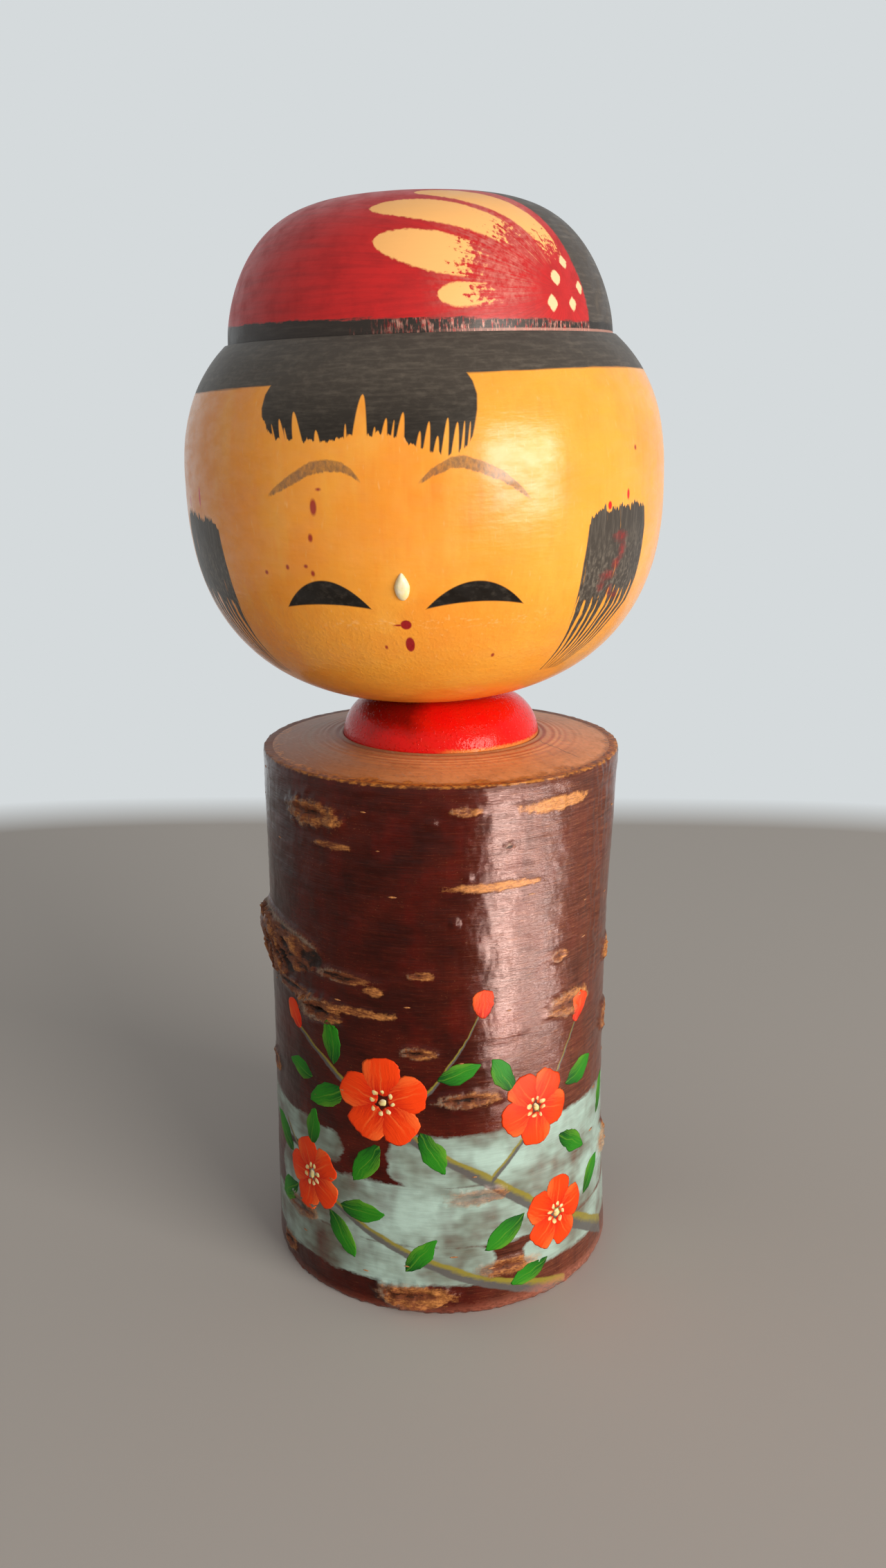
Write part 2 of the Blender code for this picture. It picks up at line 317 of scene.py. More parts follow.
class Nodes:
    """Adds nodes to a tree."""

    def __init__(self, tree):
        self.tree = tree

    def node(self, kind, settings=None, sockets=None):
        """A node of this type, with its settings set first and then its sockets fed."""
        node = self.tree.nodes.new(kind)
        for name, value in (settings or {}).items():
            if name == "points":
                self.draw_curve(node.mapping, value)
            else:
                setattr(node, name, value)
        for key, value in (sockets or {}).items():
            self.feed(socket_of(node.inputs, key), value)
        return node

    def draw_curve(self, mapping, points):
        """Straight stretches through points from 0 to 1, level beyond both ends."""
        mapping.extend = "HORIZONTAL"
        mapping.use_clip = False
        curve = mapping.curves[0]
        curve.points[0].location = points[0]
        curve.points[1].location = points[-1]
        for x, y in points[1:-1]:
            curve.points.new(x, y)
        for point in curve.points:
            point.handle_type = "VECTOR"
        mapping.update()

    def feed(self, socket, value):
        if isinstance(value, Value):
            value = value.socket
        if isinstance(value, NodeSocket):
            self.tree.links.new(value, socket)
        elif socket.type == "RGBA":
            socket.default_value = (*value, 1)
        else:
            socket.default_value = value

    def math(self, operation, *values, clamp=False):
        settings = {"operation": operation, "use_clamp": clamp}
        node = self.node("ShaderNodeMath", settings, dict(enumerate(values)))
        return Value(self, node.outputs[0])

    def vector_math(self, operation, *vectors):
        node = self.node("ShaderNodeVectorMath", {"operation": operation}, dict(enumerate(vectors)))
        if operation in ("DOT_PRODUCT", "LENGTH"):
            return Value(self, node.outputs["Value"])
        return node.outputs["Vector"]

    def scaled(self, vector, share):
        sockets = {0: vector, "Scale": share}
        return self.node("ShaderNodeVectorMath", {"operation": "SCALE"}, sockets).outputs["Vector"]

    def split(self, vector):
        node = self.node("ShaderNodeSeparateXYZ", None, {0: vector})
        return [Value(self, socket) for socket in node.outputs]

    def join(self, x, y, z=0.0):
        return self.node("ShaderNodeCombineXYZ", None, {0: x, 1: y, 2: z}).outputs[0]


class Finish(Nodes):
    """One material: a Principled shader and the nodes that feed it."""

    def __init__(self, name, constants):
        self.material = bpy.data.materials.new(name)
        self.material.use_nodes = True
        super().__init__(self.material.node_tree)
        self.shader = self.tree.nodes["Principled BSDF"]
        self.set(constants)

    def set(self, sockets):
        for key, value in sockets.items():
            self.feed(socket_of(self.shader.inputs, key), value)

    def place(self, placing=PLUMB):
        """Object coordinates in millimetres, in the frame that a piece was turned in."""
        sockets = {
            "Vector": self.node("ShaderNodeTexCoord").outputs["Object"],
            "Location": placing.translation,
            "Rotation": placing.to_euler(),
            "Scale": (MM, MM, MM),
        }
        return self.node("ShaderNodeMapping", {"vector_type": "TEXTURE"}, sockets).outputs[0]

    def round_and_up(self, place, radius):
        """u and z of a place: millimetres round from the front, and up."""
        x, y, z = self.split(place)
        return self.math("ARCTAN2", x, -y) * (radius / MM), z

    def grain(self, place, pitch, detail=2.0):
        """Noise from 0 to 1 with marks about this many millimetres long along X, Y and Z."""
        scaled = self.vector_math("DIVIDE", place, pitch)
        sockets = {"Vector": scaled, "Scale": 1.0, "Detail": detail, "Roughness": 0.6}
        return Value(self, self.node("ShaderNodeTexNoise", None, sockets).outputs[0])

    def crackle(self, place, pitch):
        """0 on the edges of ragged cells about this many millimetres across, and rising into them."""
        scaled = self.vector_math("DIVIDE", place, pitch)
        settings = {"feature": "DISTANCE_TO_EDGE"}
        cells = self.node("ShaderNodeTexVoronoi", settings, {"Vector": scaled, "Scale": 1.0})
        return Value(self, cells.outputs["Distance"])

    def ramp(self, value, start, end):
        """0 at start and 1 at end, straight between and level beyond."""
        scale = 1 / (end - start)
        return self.math("MULTIPLY_ADD", value, scale, -start * scale, clamp=True)

    def inside(self, distance, soft=0.12):
        """1 where the distance to an outline is below 0, with an edge this soft."""
        return self.ramp(distance, soft / 2, -soft / 2)

    def curve(self, value, points):
        """Height of an outline over a value, from its own points in millimetres."""
        low_x, high_x = points[0][0], points[-1][0]
        low_y = min(y for _, y in points)
        high_y = max(y for _, y in points)
        shares = [((x - low_x) / (high_x - low_x), (y - low_y) / (high_y - low_y)) for x, y in points]
        share = self.ramp(value, low_x, high_x)
        node = self.node("ShaderNodeFloatCurve", {"points": shares}, {"Value": share})
        return Value(self, node.outputs[0]) * (high_y - low_y) + low_y

    def ellipse(self, u, z, mark):
        """Rough distance in millimetres to the outline of a drop of paint."""
        across = (u - mark.u) / mark.wide
        up = (z - mark.z) / mark.tall
        return ((across * across + up * up) ** 0.5 - 1.0) * min(mark.wide, mark.tall)

    def attribute(self, name):
        return Value(self, self.node("ShaderNodeAttribute", {"attribute_name": name}).outputs["Fac"])

    def mix(self, share, under, over):
        """The colour over, laid on the colour under to this share."""
        sockets = {"Factor_Float": share, "A_Color": under, "B_Color": over}
        node = self.node("ShaderNodeMix", {"data_type": "RGBA"}, sockets)
        return socket_of(node.outputs, "Result_Color")

    def relief(self, height, millimetres):
        """Normals of a surface that rises by this much where the height goes from 0 to 1."""
        sockets = {"Height": height, "Distance": millimetres * MM, "Strength": 1.0}
        self.set({"Normal": self.node("ShaderNodeBump", None, sockets).outputs[0]})


class Drop(NamedTuple):
    """A small mark: its middle, and its half-width and half-height, in millimetres."""

    u: float
    z: float
    wide: float
    tall: float


# Points closer than this are joined where a mesh closes on itself
SEAM_GAP = 0.002 * MM
POLE_GAP = 0.001 * MM
# Pitch of the slow unevenness along a turned piece
WOBBLE_PITCH = 7 * MM
# Pitch and reach of the hand's shake in the outlines of the dabs of paint
SHAKE_PITCH = 2.2 * MM
SHAKE = 1.5 * MM
# Least and most share of the full length of a fleck of cork, its slimness, least width and thickness
FLECK_SHARES = (0.35, 1.3)
FLECK_SLIM = 0.16
FLECK_WIDTH = 0.1 * MM
FLECK_RISE = 0.14 * MM


def new_tree(name, inputs):
    """The nodes of a new geometry tree, and the sockets of its inputs by their names."""
    tree = bpy.data.node_groups.new(name, "GeometryNodeTree")
    for label, kind in inputs.items():
        tree.interface.new_socket(label, in_out="INPUT", socket_type="NodeSocket" + kind)
    tree.interface.new_socket("Geometry", in_out="OUTPUT", socket_type="NodeSocketGeometry")
    g = Nodes(tree)
    return g, g.node("NodeGroupInput").outputs


def close_tree(g, shape, finish):
    """Ends a geometry tree in plain geometry with its finish on."""
    whole = g.node("GeometryNodeRealizeInstances", None, {0: shape}).outputs[0]
    sockets = {"Geometry": whole, "Material": finish}
    painted = g.node("GeometryNodeSetMaterial", None, sockets).outputs[0]
    g.node("NodeGroupOutput", None, {"Geometry": painted})
    return g.tree


def stored(g, name, kind="FLOAT"):
    """What each point of a geometry carries under this name."""
    return g.node("GeometryNodeInputNamedAttribute", {"data_type": kind}, {"Name": name}).outputs[0]


def lathe_tree():
    """A tree that turns a row of points: radius, sideways shift and height of each ring."""
    inputs = {
        "Outline": "Geometry",
        "Columns": "Int",
        "Wobble": "Float",
        "Seed": "Float",
        "Finish": "Material",
    }
    g, given = new_tree("Lathe", inputs)
    outline = g.node("GeometryNodeAttributeDomainSize", None, {0: given["Outline"]})
    rows = Value(g, outline.outputs["Point Count"])
    columns = Value(g, given["Columns"])
    sockets = {"Vertices X": columns + 1, "Vertices Y": rows}
    grid = g.node("GeometryNodeMeshGrid", None, sockets).outputs["Mesh"]
    index = Value(g, g.node("GeometryNodeInputIndex").outputs[0])
    place = g.node("GeometryNodeInputPosition").outputs[0]
    sockets = {"Geometry": given["Outline"], "Value": place, "Index": index % rows}
    ring = g.node("GeometryNodeSampleIndex", {"data_type": "FLOAT_VECTOR"}, sockets).outputs[0]
    radius, shift, height = g.split(ring)
    angle = g.math("FLOOR", (index + 0.5) / rows) * (2 * pi) / columns
    side = g.math("SINE", angle)
    front = g.math("COSINE", angle) * -1.0
    # Slow noise on the ring's own circle, so that the seam closes
    sample = g.join(side * 0.7, front * 0.7, height / WOBBLE_PITCH + given["Seed"])
    sockets = {"Vector": sample, "Scale": 1.0, "Detail": 1.0}
    rough = Value(g, g.node("ShaderNodeTexNoise", None, sockets).outputs[0])
    turned = radius + (rough - 0.5) * given["Wobble"] * 2 * (radius / HEAD_RADIUS)
    sockets = {"Geometry": grid, "Position": g.join(shift + side * turned, front * turned, height)}
    moved = g.node("GeometryNodeSetPosition", None, sockets).outputs[0]
    sockets = {"Geometry": moved, "Distance": SEAM_GAP}
    closed = g.node("GeometryNodeMergeByDistance", None, sockets).outputs[0]
    return close_tree(g, closed, given["Finish"])


def shape_dab(g, segments, rings, point, flare):
    """A flat closed drop, one long and wide, with its foot at -X: pointed, or flaring to a blunt tip."""
    sockets = {"Segments": segments, "Rings": rings, "Radius": 0.5}
    ball = g.node("GeometryNodeMeshUVSphere", None, sockets).outputs["Mesh"]
    x, y, z = g.split(g.node("GeometryNodeInputPosition").outputs[0])
    narrowing = g.math("MAXIMUM", 1.0 - x * x * 4.0, 0.0) ** point
    shaped = g.join(x, y * narrowing * (1.0 + x * flare), z)
    dab = g.node("GeometryNodeSetPosition", None, {"Geometry": ball, "Position": shaped}).outputs[0]
    for name, value in (("along", x + 0.5), ("aside", y)):
        sockets = {"Geometry": dab, "Name": name, "Value": value}
        dab = g.node("GeometryNodeStoreNamedAttribute", {"data_type": "FLOAT"}, sockets).outputs[0]
    return dab


def dabs_tree():
    """A tree that lays a dab of paint at each point of a flat layout and wraps them all round a log."""
    inputs = {
        "Layout": "Geometry",
        "Log": "Object",
        "Log radius": "Float",
        "Point": "Float",
        "Flare": "Float",
        "Finish": "Material",
    }
    g, given = new_tree("Paint dabs", inputs)
    sockets = {
        "Points": given["Layout"],
        "Instance": shape_dab(g, 30, 8, given["Point"], given["Flare"]),
        "Rotation": g.join(0.0, 0.0, stored(g, "aim")),
        "Scale": stored(g, "size", "FLOAT_VECTOR"),
    }
    laid = g.node("GeometryNodeInstanceOnPoints", None, sockets).outputs[0]
    flat = g.node("GeometryNodeRealizeInstances", None, {0: laid}).outputs[0]
    place = g.node("GeometryNodeInputPosition").outputs[0]
    sockets = {"Vector": place, "Scale": 1 / SHAKE_PITCH, "Detail": 2.0}
    shaky = g.node("ShaderNodeTexNoise", None, sockets).outputs[1]
    either_way = g.vector_math("SUBTRACT", shaky, (0.5, 0.5, 0.5))
    shake = g.vector_math("MULTIPLY", either_way, (SHAKE, SHAKE, 0))
    u, up, lift = g.split(g.vector_math("ADD", place, shake))
    turn = u / given["Log radius"]
    outward = g.join(g.math("SINE", turn), g.math("COSINE", turn) * -1.0)
    reach = Value(g, given["Log radius"]) * 2.0
    host = g.node("GeometryNodeObjectInfo", None, {"Object": given["Log"]}).outputs["Geometry"]
    sockets = {
        "Target Geometry": host,
        "Source Position": g.vector_math("ADD", g.scaled(outward, reach), g.join(0.0, 0.0, up)),
        "Ray Direction": g.vector_math("MULTIPLY", outward, (-1, -1, -1)),
        "Ray Length": reach,
    }
    hit = g.node("GeometryNodeRaycast", None, sockets).outputs["Hit Position"]
    sockets = {"Geometry": flat, "Position": g.vector_math("ADD", hit, g.scaled(outward, lift))}
    wrapped = g.node("GeometryNodeSetPosition", None, sockets).outputs[0]
    smooth = g.node("GeometryNodeSetShadeSmooth", None, {"Geometry": wrapped}).outputs[0]
    return close_tree(g, smooth, given["Finish"])


def flecks_tree():
    """A tree that scatters small level flecks of cork over the bark."""
    inputs = {
        "Bark": "Geometry",
        "Density": "Float",
        "Length": "Float",
        "Seed": "Int",
        "Finish": "Material",
    }
    g, given = new_tree("Cork flecks", inputs)
    crowd = Value(g, stored(g, "fleck_room")) * given["Density"]
    sockets = {"Mesh": given["Bark"], "Density": crowd, "Seed": given["Seed"]}
    scattered = g.node("GeometryNodeDistributePointsOnFaces", None, sockets).outputs
    face_out = scattered["Normal"]
    sockets = {"Vector": face_out}
    upright = g.node("FunctionNodeAlignRotationToVector", {"axis": "Z"}, sockets).outputs[0]
    level = g.vector_math("CROSS_PRODUCT", (0, 0, 1), face_out)
    settings = {"axis": "X", "pivot_axis": "Z"}
    sockets = {"Rotation": upright, "Vector": level}
    lie = g.node("FunctionNodeAlignRotationToVector", settings, sockets).outputs[0]
    sockets = {"Min": FLECK_SHARES[0], "Max": FLECK_SHARES[1], "Seed": given["Seed"]}
    share = Value(g, g.node("FunctionNodeRandomValue", {"data_type": "FLOAT"}, sockets).outputs[1])
    size = Value(g, given["Length"]) * share
    sockets = {
        "Points": scattered["Points"],
        "Instance": shape_dab(g, 8, 4, 0.3, 0.0),
        "Rotation": lie,
        "Scale": g.join(size, size * FLECK_SLIM + FLECK_WIDTH, FLECK_RISE),
    }
    laid = g.node("GeometryNodeInstanceOnPoints", None, sockets).outputs[0]
    return close_tree(g, laid, given["Finish"])


def grown(name, tree, source, inputs):
    """The plain mesh that a geometry tree makes of a source mesh."""
    obj = bpy.data.objects.new(name, source)
    bpy.context.scene.collection.objects.link(obj)
    modifier = obj.modifiers.new(tree.name, "NODES")
    modifier.node_group = tree
    for item in tree.interface.items_tree:
        if item.in_out == "INPUT" and item.name in inputs:
            modifier[item.identifier] = inputs[item.name]
    evaluated = obj.evaluated_get(bpy.context.evaluated_depsgraph_get())
    mesh = bpy.data.meshes.new_from_object(evaluated)
    obj.modifiers.remove(modifier)
    bpy.data.objects.remove(obj)
    mesh.name = name
    return mesh


def tidy_normals(mesh, sharp_angle, join_poles=False):
    """Faces of a closed mesh turned outwards, shaded smooth but for its corners."""
    bm = bmesh.new()
    bm.from_mesh(mesh)
    if join_poles:
        bmesh.ops.remove_doubles(bm, verts=bm.verts, dist=POLE_GAP)
    bmesh.ops.recalc_face_normals(bm, faces=bm.faces)
    bm.to_mesh(mesh)
    bm.free()
    mesh.shade_smooth()
    mesh.set_sharp_from_angle(angle=sharp_angle)


def turned_mesh(name, outline, finish, seed, placing=PLUMB):
    """A turned piece from rings of radius, sideways shift and height."""
    sizes = bpy.context.scene.doll_sizes
    source = bpy.data.meshes.new(name + "_outline")
    source.from_pydata(outline, [], [])
    inputs = {
        "Columns": sizes.lathe_columns,
        "Wobble": sizes.lathe_wobble,
        "Seed": seed,
        "Finish": finish.material,
    }
    mesh = grown(name, lathe_tree(), source, inputs)
    mesh.transform(placing)
    tidy_normals(mesh, radians(40))
    return mesh


def sheet_mesh(name, places, wrap_rows):
    """A mesh of quads over rows and columns of places; columns wrap, and rows too if asked."""
    rows, columns = places.shape[:2]
    bands = rows if wrap_rows else rows - 1
    row, column = np.meshgrid(np.arange(bands), np.arange(columns), indexing="ij")
    here = row * columns
    above = (row + 1) % rows * columns
    beside = (column + 1) % columns
    corners = [here + column, here + beside, above + beside, above + column]
    faces = np.stack(corners, axis=-1).reshape(-1, 4)
    mesh = bpy.data.meshes.new(name)
    mesh.from_pydata(places.reshape(-1, 3).tolist(), [], faces.tolist())
    return mesh


def store_layers(mesh, layers):
    """Gives each point of a mesh the values that its finish reads."""
    for name, values in layers.items():
        layer = mesh.attributes.new(name, "FLOAT", "POINT")
        layer.data.foreach_set("value", values.astype(np.float32).ravel())


def add_piece(mesh, finish, body, slot, *nodes):
    """A finished piece that moves with a body, and the solids that it stands for."""
    obj = bpy.data.objects.new(mesh.name, mesh)
    bpy.context.scene.collection.objects.link(obj)
    mesh.materials.clear()
    mesh.materials.append(finish.material)
    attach(obj, body)
    if nodes:
        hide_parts(*nodes)
    return obj


def paints():
    return bpy.context.scene.doll_paints


# Middle of the face, and the outlines painted on the head
FACE_MIDDLE = -4.1
BAND_EDGE = (
    (-119.7, 149.4),
    (-46.4, 148.9),
    (-23.2, 149.5),
    (7.6, 150.2),
    (30.5, 150.7),
    (49.7, 150.5),
    (119.7, 149.4),
)


class Slit(NamedTuple):
    """A gap between strands of the fringe: its place, its top's height and its half-width below."""

    u: float
    top: float
    half: float


FRINGE_FOOT = (
    (-24.0, 146.0),
    (-21.6, 142.9),
    (-19.5, 142.2),
    (-16.5, 142.1),
    (-12.2, 141.9),
    (-9.0, 142.6),
    (-5.0, 142.8),
    (-2.0, 142.2),
    (0.0, 141.1),
    (2.0, 140.3),
    (4.5, 139.8),
    (6.3, 140.4),
    (7.6, 141.5),
    (9.4, 144.0),
)
FRINGE_TIPS = 141.3
FRINGE_SLITS = (
    Slit(-21.6, 144.3, 0.2),
    Slit(-20.3, 145.0, 0.55),
    Slit(-19.3, 143.8, 0.25),
    Slit(-17.9, 145.9, 0.85),
    Slit(-14.1, 143.4, 0.5),
    Slit(-9.7, 144.1, 0.25),
    Slit(-7.35, 147.9, 1.15),
    Slit(-5.5, 143.6, 0.3),
    Slit(-3.9, 144.7, 0.5),
    Slit(-2.8, 144.4, 0.2),
    Slit(-1.55, 145.4, 0.6),
    Slit(0.7, 142.9, 0.3),
    Slit(2.0, 144.1, 0.4),
    Slit(3.1, 142.2, 0.25),
    Slit(4.6, 144.5, 0.4),
    Slit(5.9, 143.9, 0.4),
    Slit(6.9, 144.0, 0.18),
    Slit(7.7, 143.9, 0.15),
)
# Left and right side of the fringe over its height
FRINGE_LEFT = ((142.0, -22.2), (144.5, -23.4), (146.5, -23.9), (148.3, -23.7), (149.8, -22.9))
FRINGE_RIGHT = ((141.0, 7.6), (143.5, 8.3), (145.5, 8.8), (147.5, 9.0), (149.2, 8.6), (150.8, 7.6))
BROWS = (
    (
        (-22.4, 134.7),
        (-18.8, 136.6),
        (-15.1, 138.4),
        (-12.6, 138.75),
        (-10.3, 138.5),
        (-8.9, 137.7),
        (-7.5, 136.3),
    ),
    (
        (0.1, 136.0),
        (2.1, 137.5),
        (4.8, 138.7),
        (6.5, 138.8),
        (9.2, 137.9),
        (11.9, 136.7),
        (14.2, 135.1),
        (16.2, 133.3),
    ),
)


class Eye(NamedTuple):
    """A closed eye: its middle and half-width, its lid's crest, and the crest and ends of its foot."""

    u: float
    half: float
    crest: float
    foot: float
    ends: float


EYES = (Eye(-14.6, 7.1, 123.0, 119.5, 118.9), Eye(8.2, 7.5, 122.6, 119.6, 118.8))
LOCK_INNER = ((106.5, 29.4), (112.0, 29.8), (123.6, 29.7), (130.0, 30.3), (133.0, 30.5))
LOCK_OUTER = (
    (106.5, 34.0),
    (108.7, 37.1),
    (110.6, 39.5),
    (114.4, 42.4),
    (116.6, 44.4),
    (120.0, 44.9),
    (128.0, 44.7),
    (133.0, 43.6),
)
LOCK_STRANDS = 9
LOCK_TOP = 131.3
LOCK_FOOT = 107.0
LIPS = (Drop(-2.5, 116.5, 0.85, 0.7), Drop(-2.15, 113.4, 0.75, 1.15), Drop(-3.7, 116.45, 0.7, 0.14))
RED_TICKS = (
    Drop(30.3, 131.6, 0.4, 0.6),
    Drop(34.8, 132.9, 0.3, 0.75),
    Drop(-40.1, 134.1, 0.35, 1.4),
    Drop(-45.5, 133.2, 0.35, 0.9),
)
STRAY_DROPS = (
    Drop(-14.8, 133.2, 0.5, 1.1),
    Drop(-13.9, 135.6, 0.35, 0.2),
    Drop(-15.6, 129.0, 0.35, 0.55),
    Drop(-20.1, 124.8, 0.28, 0.35),
    Drop(-16.9, 125.0, 0.3, 0.25),
    Drop(-15.9, 124.0, 0.3, 0.4),
    Drop(-24.3, 123.9, 0.3, 0.3),
    Drop(37.0, 139.4, 0.3, 0.35),
    Drop(12.2, 111.0, 0.3, 0.3),
    Drop(-6.2, 113.0, 0.25, 0.3),
)
LOCK_SCRAWL = (
    Drop(33.4, 127.0, 1.3, 0.7),
    Drop(34.2, 124.9, 0.7, 1.1),
    Drop(33.0, 123.0, 0.8, 0.8),
    Drop(31.6, 121.4, 1.4, 0.6),
    Drop(30.4, 120.0, 0.6, 0.7),
    Drop(32.9, 119.0, 0.5, 0.6),
    Drop(34.6, 118.2, 0.8, 0.5),
)
BACK_HAIR_EDGE = 72.0
BACK_HAIR_FOOT = 116.0


def union(masks):
    """The outermost of several masks."""
    whole = masks[0]
    for mask in masks[1:]:
        whole = whole | mask
    return whole


def drops(f, u, z, marks, soft=0.15):
    return union([f.inside(f.ellipse(u, z, mark), soft) for mark in marks])


def eye_mask(f, u, z, eye):
    share = (u - eye.u) / eye.half
    bend = share * share
    lid = eye.crest - bend * (eye.crest - eye.ends)
    foot = eye.foot - bend * (eye.foot - eye.ends)
    return f.inside((foot - z) | (z - lid), 0.2)


def slit_mask(f, u, z, slit):
    drop = 0.0 | ((slit.top - z) / (slit.top - FRINGE_TIPS))
    lean = (slit.top - z) * min(0.26 + slit.u * 0.028, 0.14)
    return f.inside((abs(u - slit.u + lean) - drop**0.5 * slit.half) | (z - slit.top), 0.2)


def brow_mask(f, u, z, points, brush):
    left, right = points[0][0], points[-1][0]
    share = (u - (left + right) / 2) / ((right - left) / 2)
    half = (0.0 | (1.0 - share * share)) ** 0.6 * 0.85
    stroke = f.inside(abs(z - f.curve(u, points) + (brush - 0.5) * 0.5) - half, 0.25)
    return stroke * (f.ramp(brush, 0.35, 0.65) * 0.4 + 0.6) * f.ramp(share * share, 1.0, 0.8)


def lock_mask(f, u, z, bristle):
    """The two locks before the ears, whose brush ran dry towards their feet."""
    side = abs(u - FACE_MIDDLE)
    inner = f.curve(z, LOCK_INNER)
    outer = f.curve(z, LOCK_OUTER)
    across = (side - inner) / (outer - inner)
    uneven = f.grain(f.join(across * 7.0, z * 0.12, u * 0.01), (1, 1, 1), 2.0)
    strands = f.math("SINE", across * (2 * pi * LOCK_STRANDS) + uneven * 7.0) * 0.3 + 0.3 + uneven * 0.4
    corner = 0.0 | (inner + 2.2 - side) | (side - outer + 2.2)
    rim = z - LOCK_TOP - (side - 37.0) * 0.08 + corner * corner * 0.25 - (bristle - 0.5) * 3.6
    shape = f.inside((inner - side) | (side - outer) | rim | (LOCK_FOOT - z), 0.2)
    dry = f.ramp(z - across * 2.0 - (bristle - 0.5) * 5.0, 118.5, 108.0) ** 0.55
    return shape * f.ramp(strands - dry * 0.52, 0.08, 0.16)


def head_finish():
    p = paints()
    gloss = {"Specular IOR Level": 0.34, "Coat Roughness": 0.18, "Specular Tint": (1.0, 0.9, 0.76)}
    f = Finish("painted_head_wood", gloss)
    place = f.place(NECK)
    u, z = f.round_and_up(place, HEAD_RADIUS)

    # Stained wood: upright grain, slow blotches and a deeper middle of the face
    fibre = f.grain(place, (0.9, 0.9, 14.0), 3.0)
    blotch = f.grain(place, (16.0, 16.0, 12.0), 2.0)
    glow = drops(f, u, z, (Drop(-1.0, 129.0, 12.0, 16.0),), 16.0)
    depth = glow * 0.35 + f.ramp(blotch, 0.42, 0.75) * 0.45 + f.ramp(fibre, 0.5, 0.8) * 0.22
    wood = f.mix(depth, p.wood, p.stain)
    # Painted shade: the left side of the head is laid in the deeper stain colour
    wood = f.mix(f.ramp(u, -12.0, -30.0) * f.ramp(u, -75.0, -50.0) * 0.45, wood, p.stain)
    thin = f.grain(place, (7.0, 7.0, 15.0), 3.0)
    wisp = f.grain(place, (1.3, 1.3, 20.0), 3.0)
    wood = f.mix(f.ramp(thin, 0.5, 0.72) * 0.4 + f.ramp(wisp, 0.52, 0.72) * 0.18, wood, p.wood_light)
    tick = f.grain(place, (0.5, 0.5, 2.2), 1.0)
    wood = f.mix(f.ramp(tick, 0.68, 0.8) * 0.45, wood, p.petal)
    scuff = f.grain(place, (1.0, 1.0, 0.4), 2.0)
    # Painted glints: a row of pale specks below the eyes, where pimples in the varnish catch the light
    glint_row = f.inside(abs(z - 116.6) - 0.6, 1.0) * f.inside(abs(u - 2.0) - 19.0, 6.0)
    wood = f.mix(f.ramp(scuff, 0.55, 0.66) * glint_row * 0.6, wood, p.petal)

    # Hair: a band round the top, a fringe, two locks and the back
    bristle = f.grain(place, (0.55, 0.55, 8.0), 2.0)
    sweep = f.grain(place, (7.0, 7.0, 0.35), 3.0)
    fray = (bristle - 0.5) * 1.8
    band = f.inside(f.curve(u, BAND_EDGE) - z + (sweep - 0.5) * 0.5, 0.3)
    sides = (f.curve(z, FRINGE_LEFT) - u) | (u - f.curve(z, FRINGE_RIGHT))
    gaps = union([slit_mask(f, u, z, slit) for slit in FRINGE_SLITS])
    fringe = f.inside((f.curve(u, FRINGE_FOOT) - z + fray) | sides, 0.25) * (1.0 - gaps)
    locks = lock_mask(f, u, z, bristle)
    behind = abs(u) - BACK_HAIR_EDGE + (sweep - 0.5) * 3.0
    nape = z - BACK_HAIR_FOOT - (bristle - 0.5) * 16.0 - 24.0 / (1.0 | behind)
    back = f.inside(-(behind & nape), 0.4)
    eyes = union([eye_mask(f, u, z, eye) for eye in EYES])
    hair = union([band, fringe, locks, back])
    brushed = f.grain(place, (4.0, 4.0, 0.45), 4.0)
    scraped = f.grain(place, (0.5, 0.5, 0.9), 3.0)
    mottled = f.grain(place, (1.3, 1.3, 0.8), 3.0)
    rubbed = f.ramp(abs(z - 121.0), 8.0, 2.0) * f.ramp(scraped, 0.5, 0.66)
    worn = (f.ramp(brushed, 0.48, 0.75) * 0.28 + f.ramp(mottled, 0.48, 0.75) * 0.2) * (band | fringe)
    # Painted sheen: the dry grey is laid stronger towards the top of the band
    worn = worn * (f.ramp(z, 143.0, 150.0) * 0.7 + 0.3)
    worn = worn + (f.ramp(bristle, 0.48, 0.75) * 0.4 + rubbed * 0.55) * (locks | back)
    # Painted sheen: the fringe is laid darker towards its foot, below the band's lit top
    black = f.mix(f.ramp(z, 150.5, 144.0) * fringe * 0.8, p.hair, p.eye)
    black = f.mix(worn, black, p.hair_worn)

    brows = union([brow_mask(f, u, z, points, scraped) for points in BROWS])
    skin = f.mix(drops(f, u, z, STRAY_DROPS, 0.25) * 0.92, wood, p.lip)
    skin = f.mix(brows * 0.82, skin, p.brow)
    skin = f.mix(eyes, skin, f.mix(f.ramp(mottled, 0.5, 0.75) * 0.14, p.eye, p.hair_worn))
    skin = f.mix(hair, skin, black)
    scratchy = [f.ellipse(u, z, mark) + (scuff - 0.5) * 1.2 for mark in LOCK_SCRAWL]
    scrawl = union([f.inside(outline, 0.9) for outline in scratchy])
    skin = f.mix(scrawl * (f.ramp(scraped, 0.35, 0.6) * 0.4 + 0.25), skin, p.lip)
    skin = f.mix(drops(f, u, z, LIPS), skin, p.lip)
    skin = f.mix(drops(f, u, z, RED_TICKS), skin, p.collar)

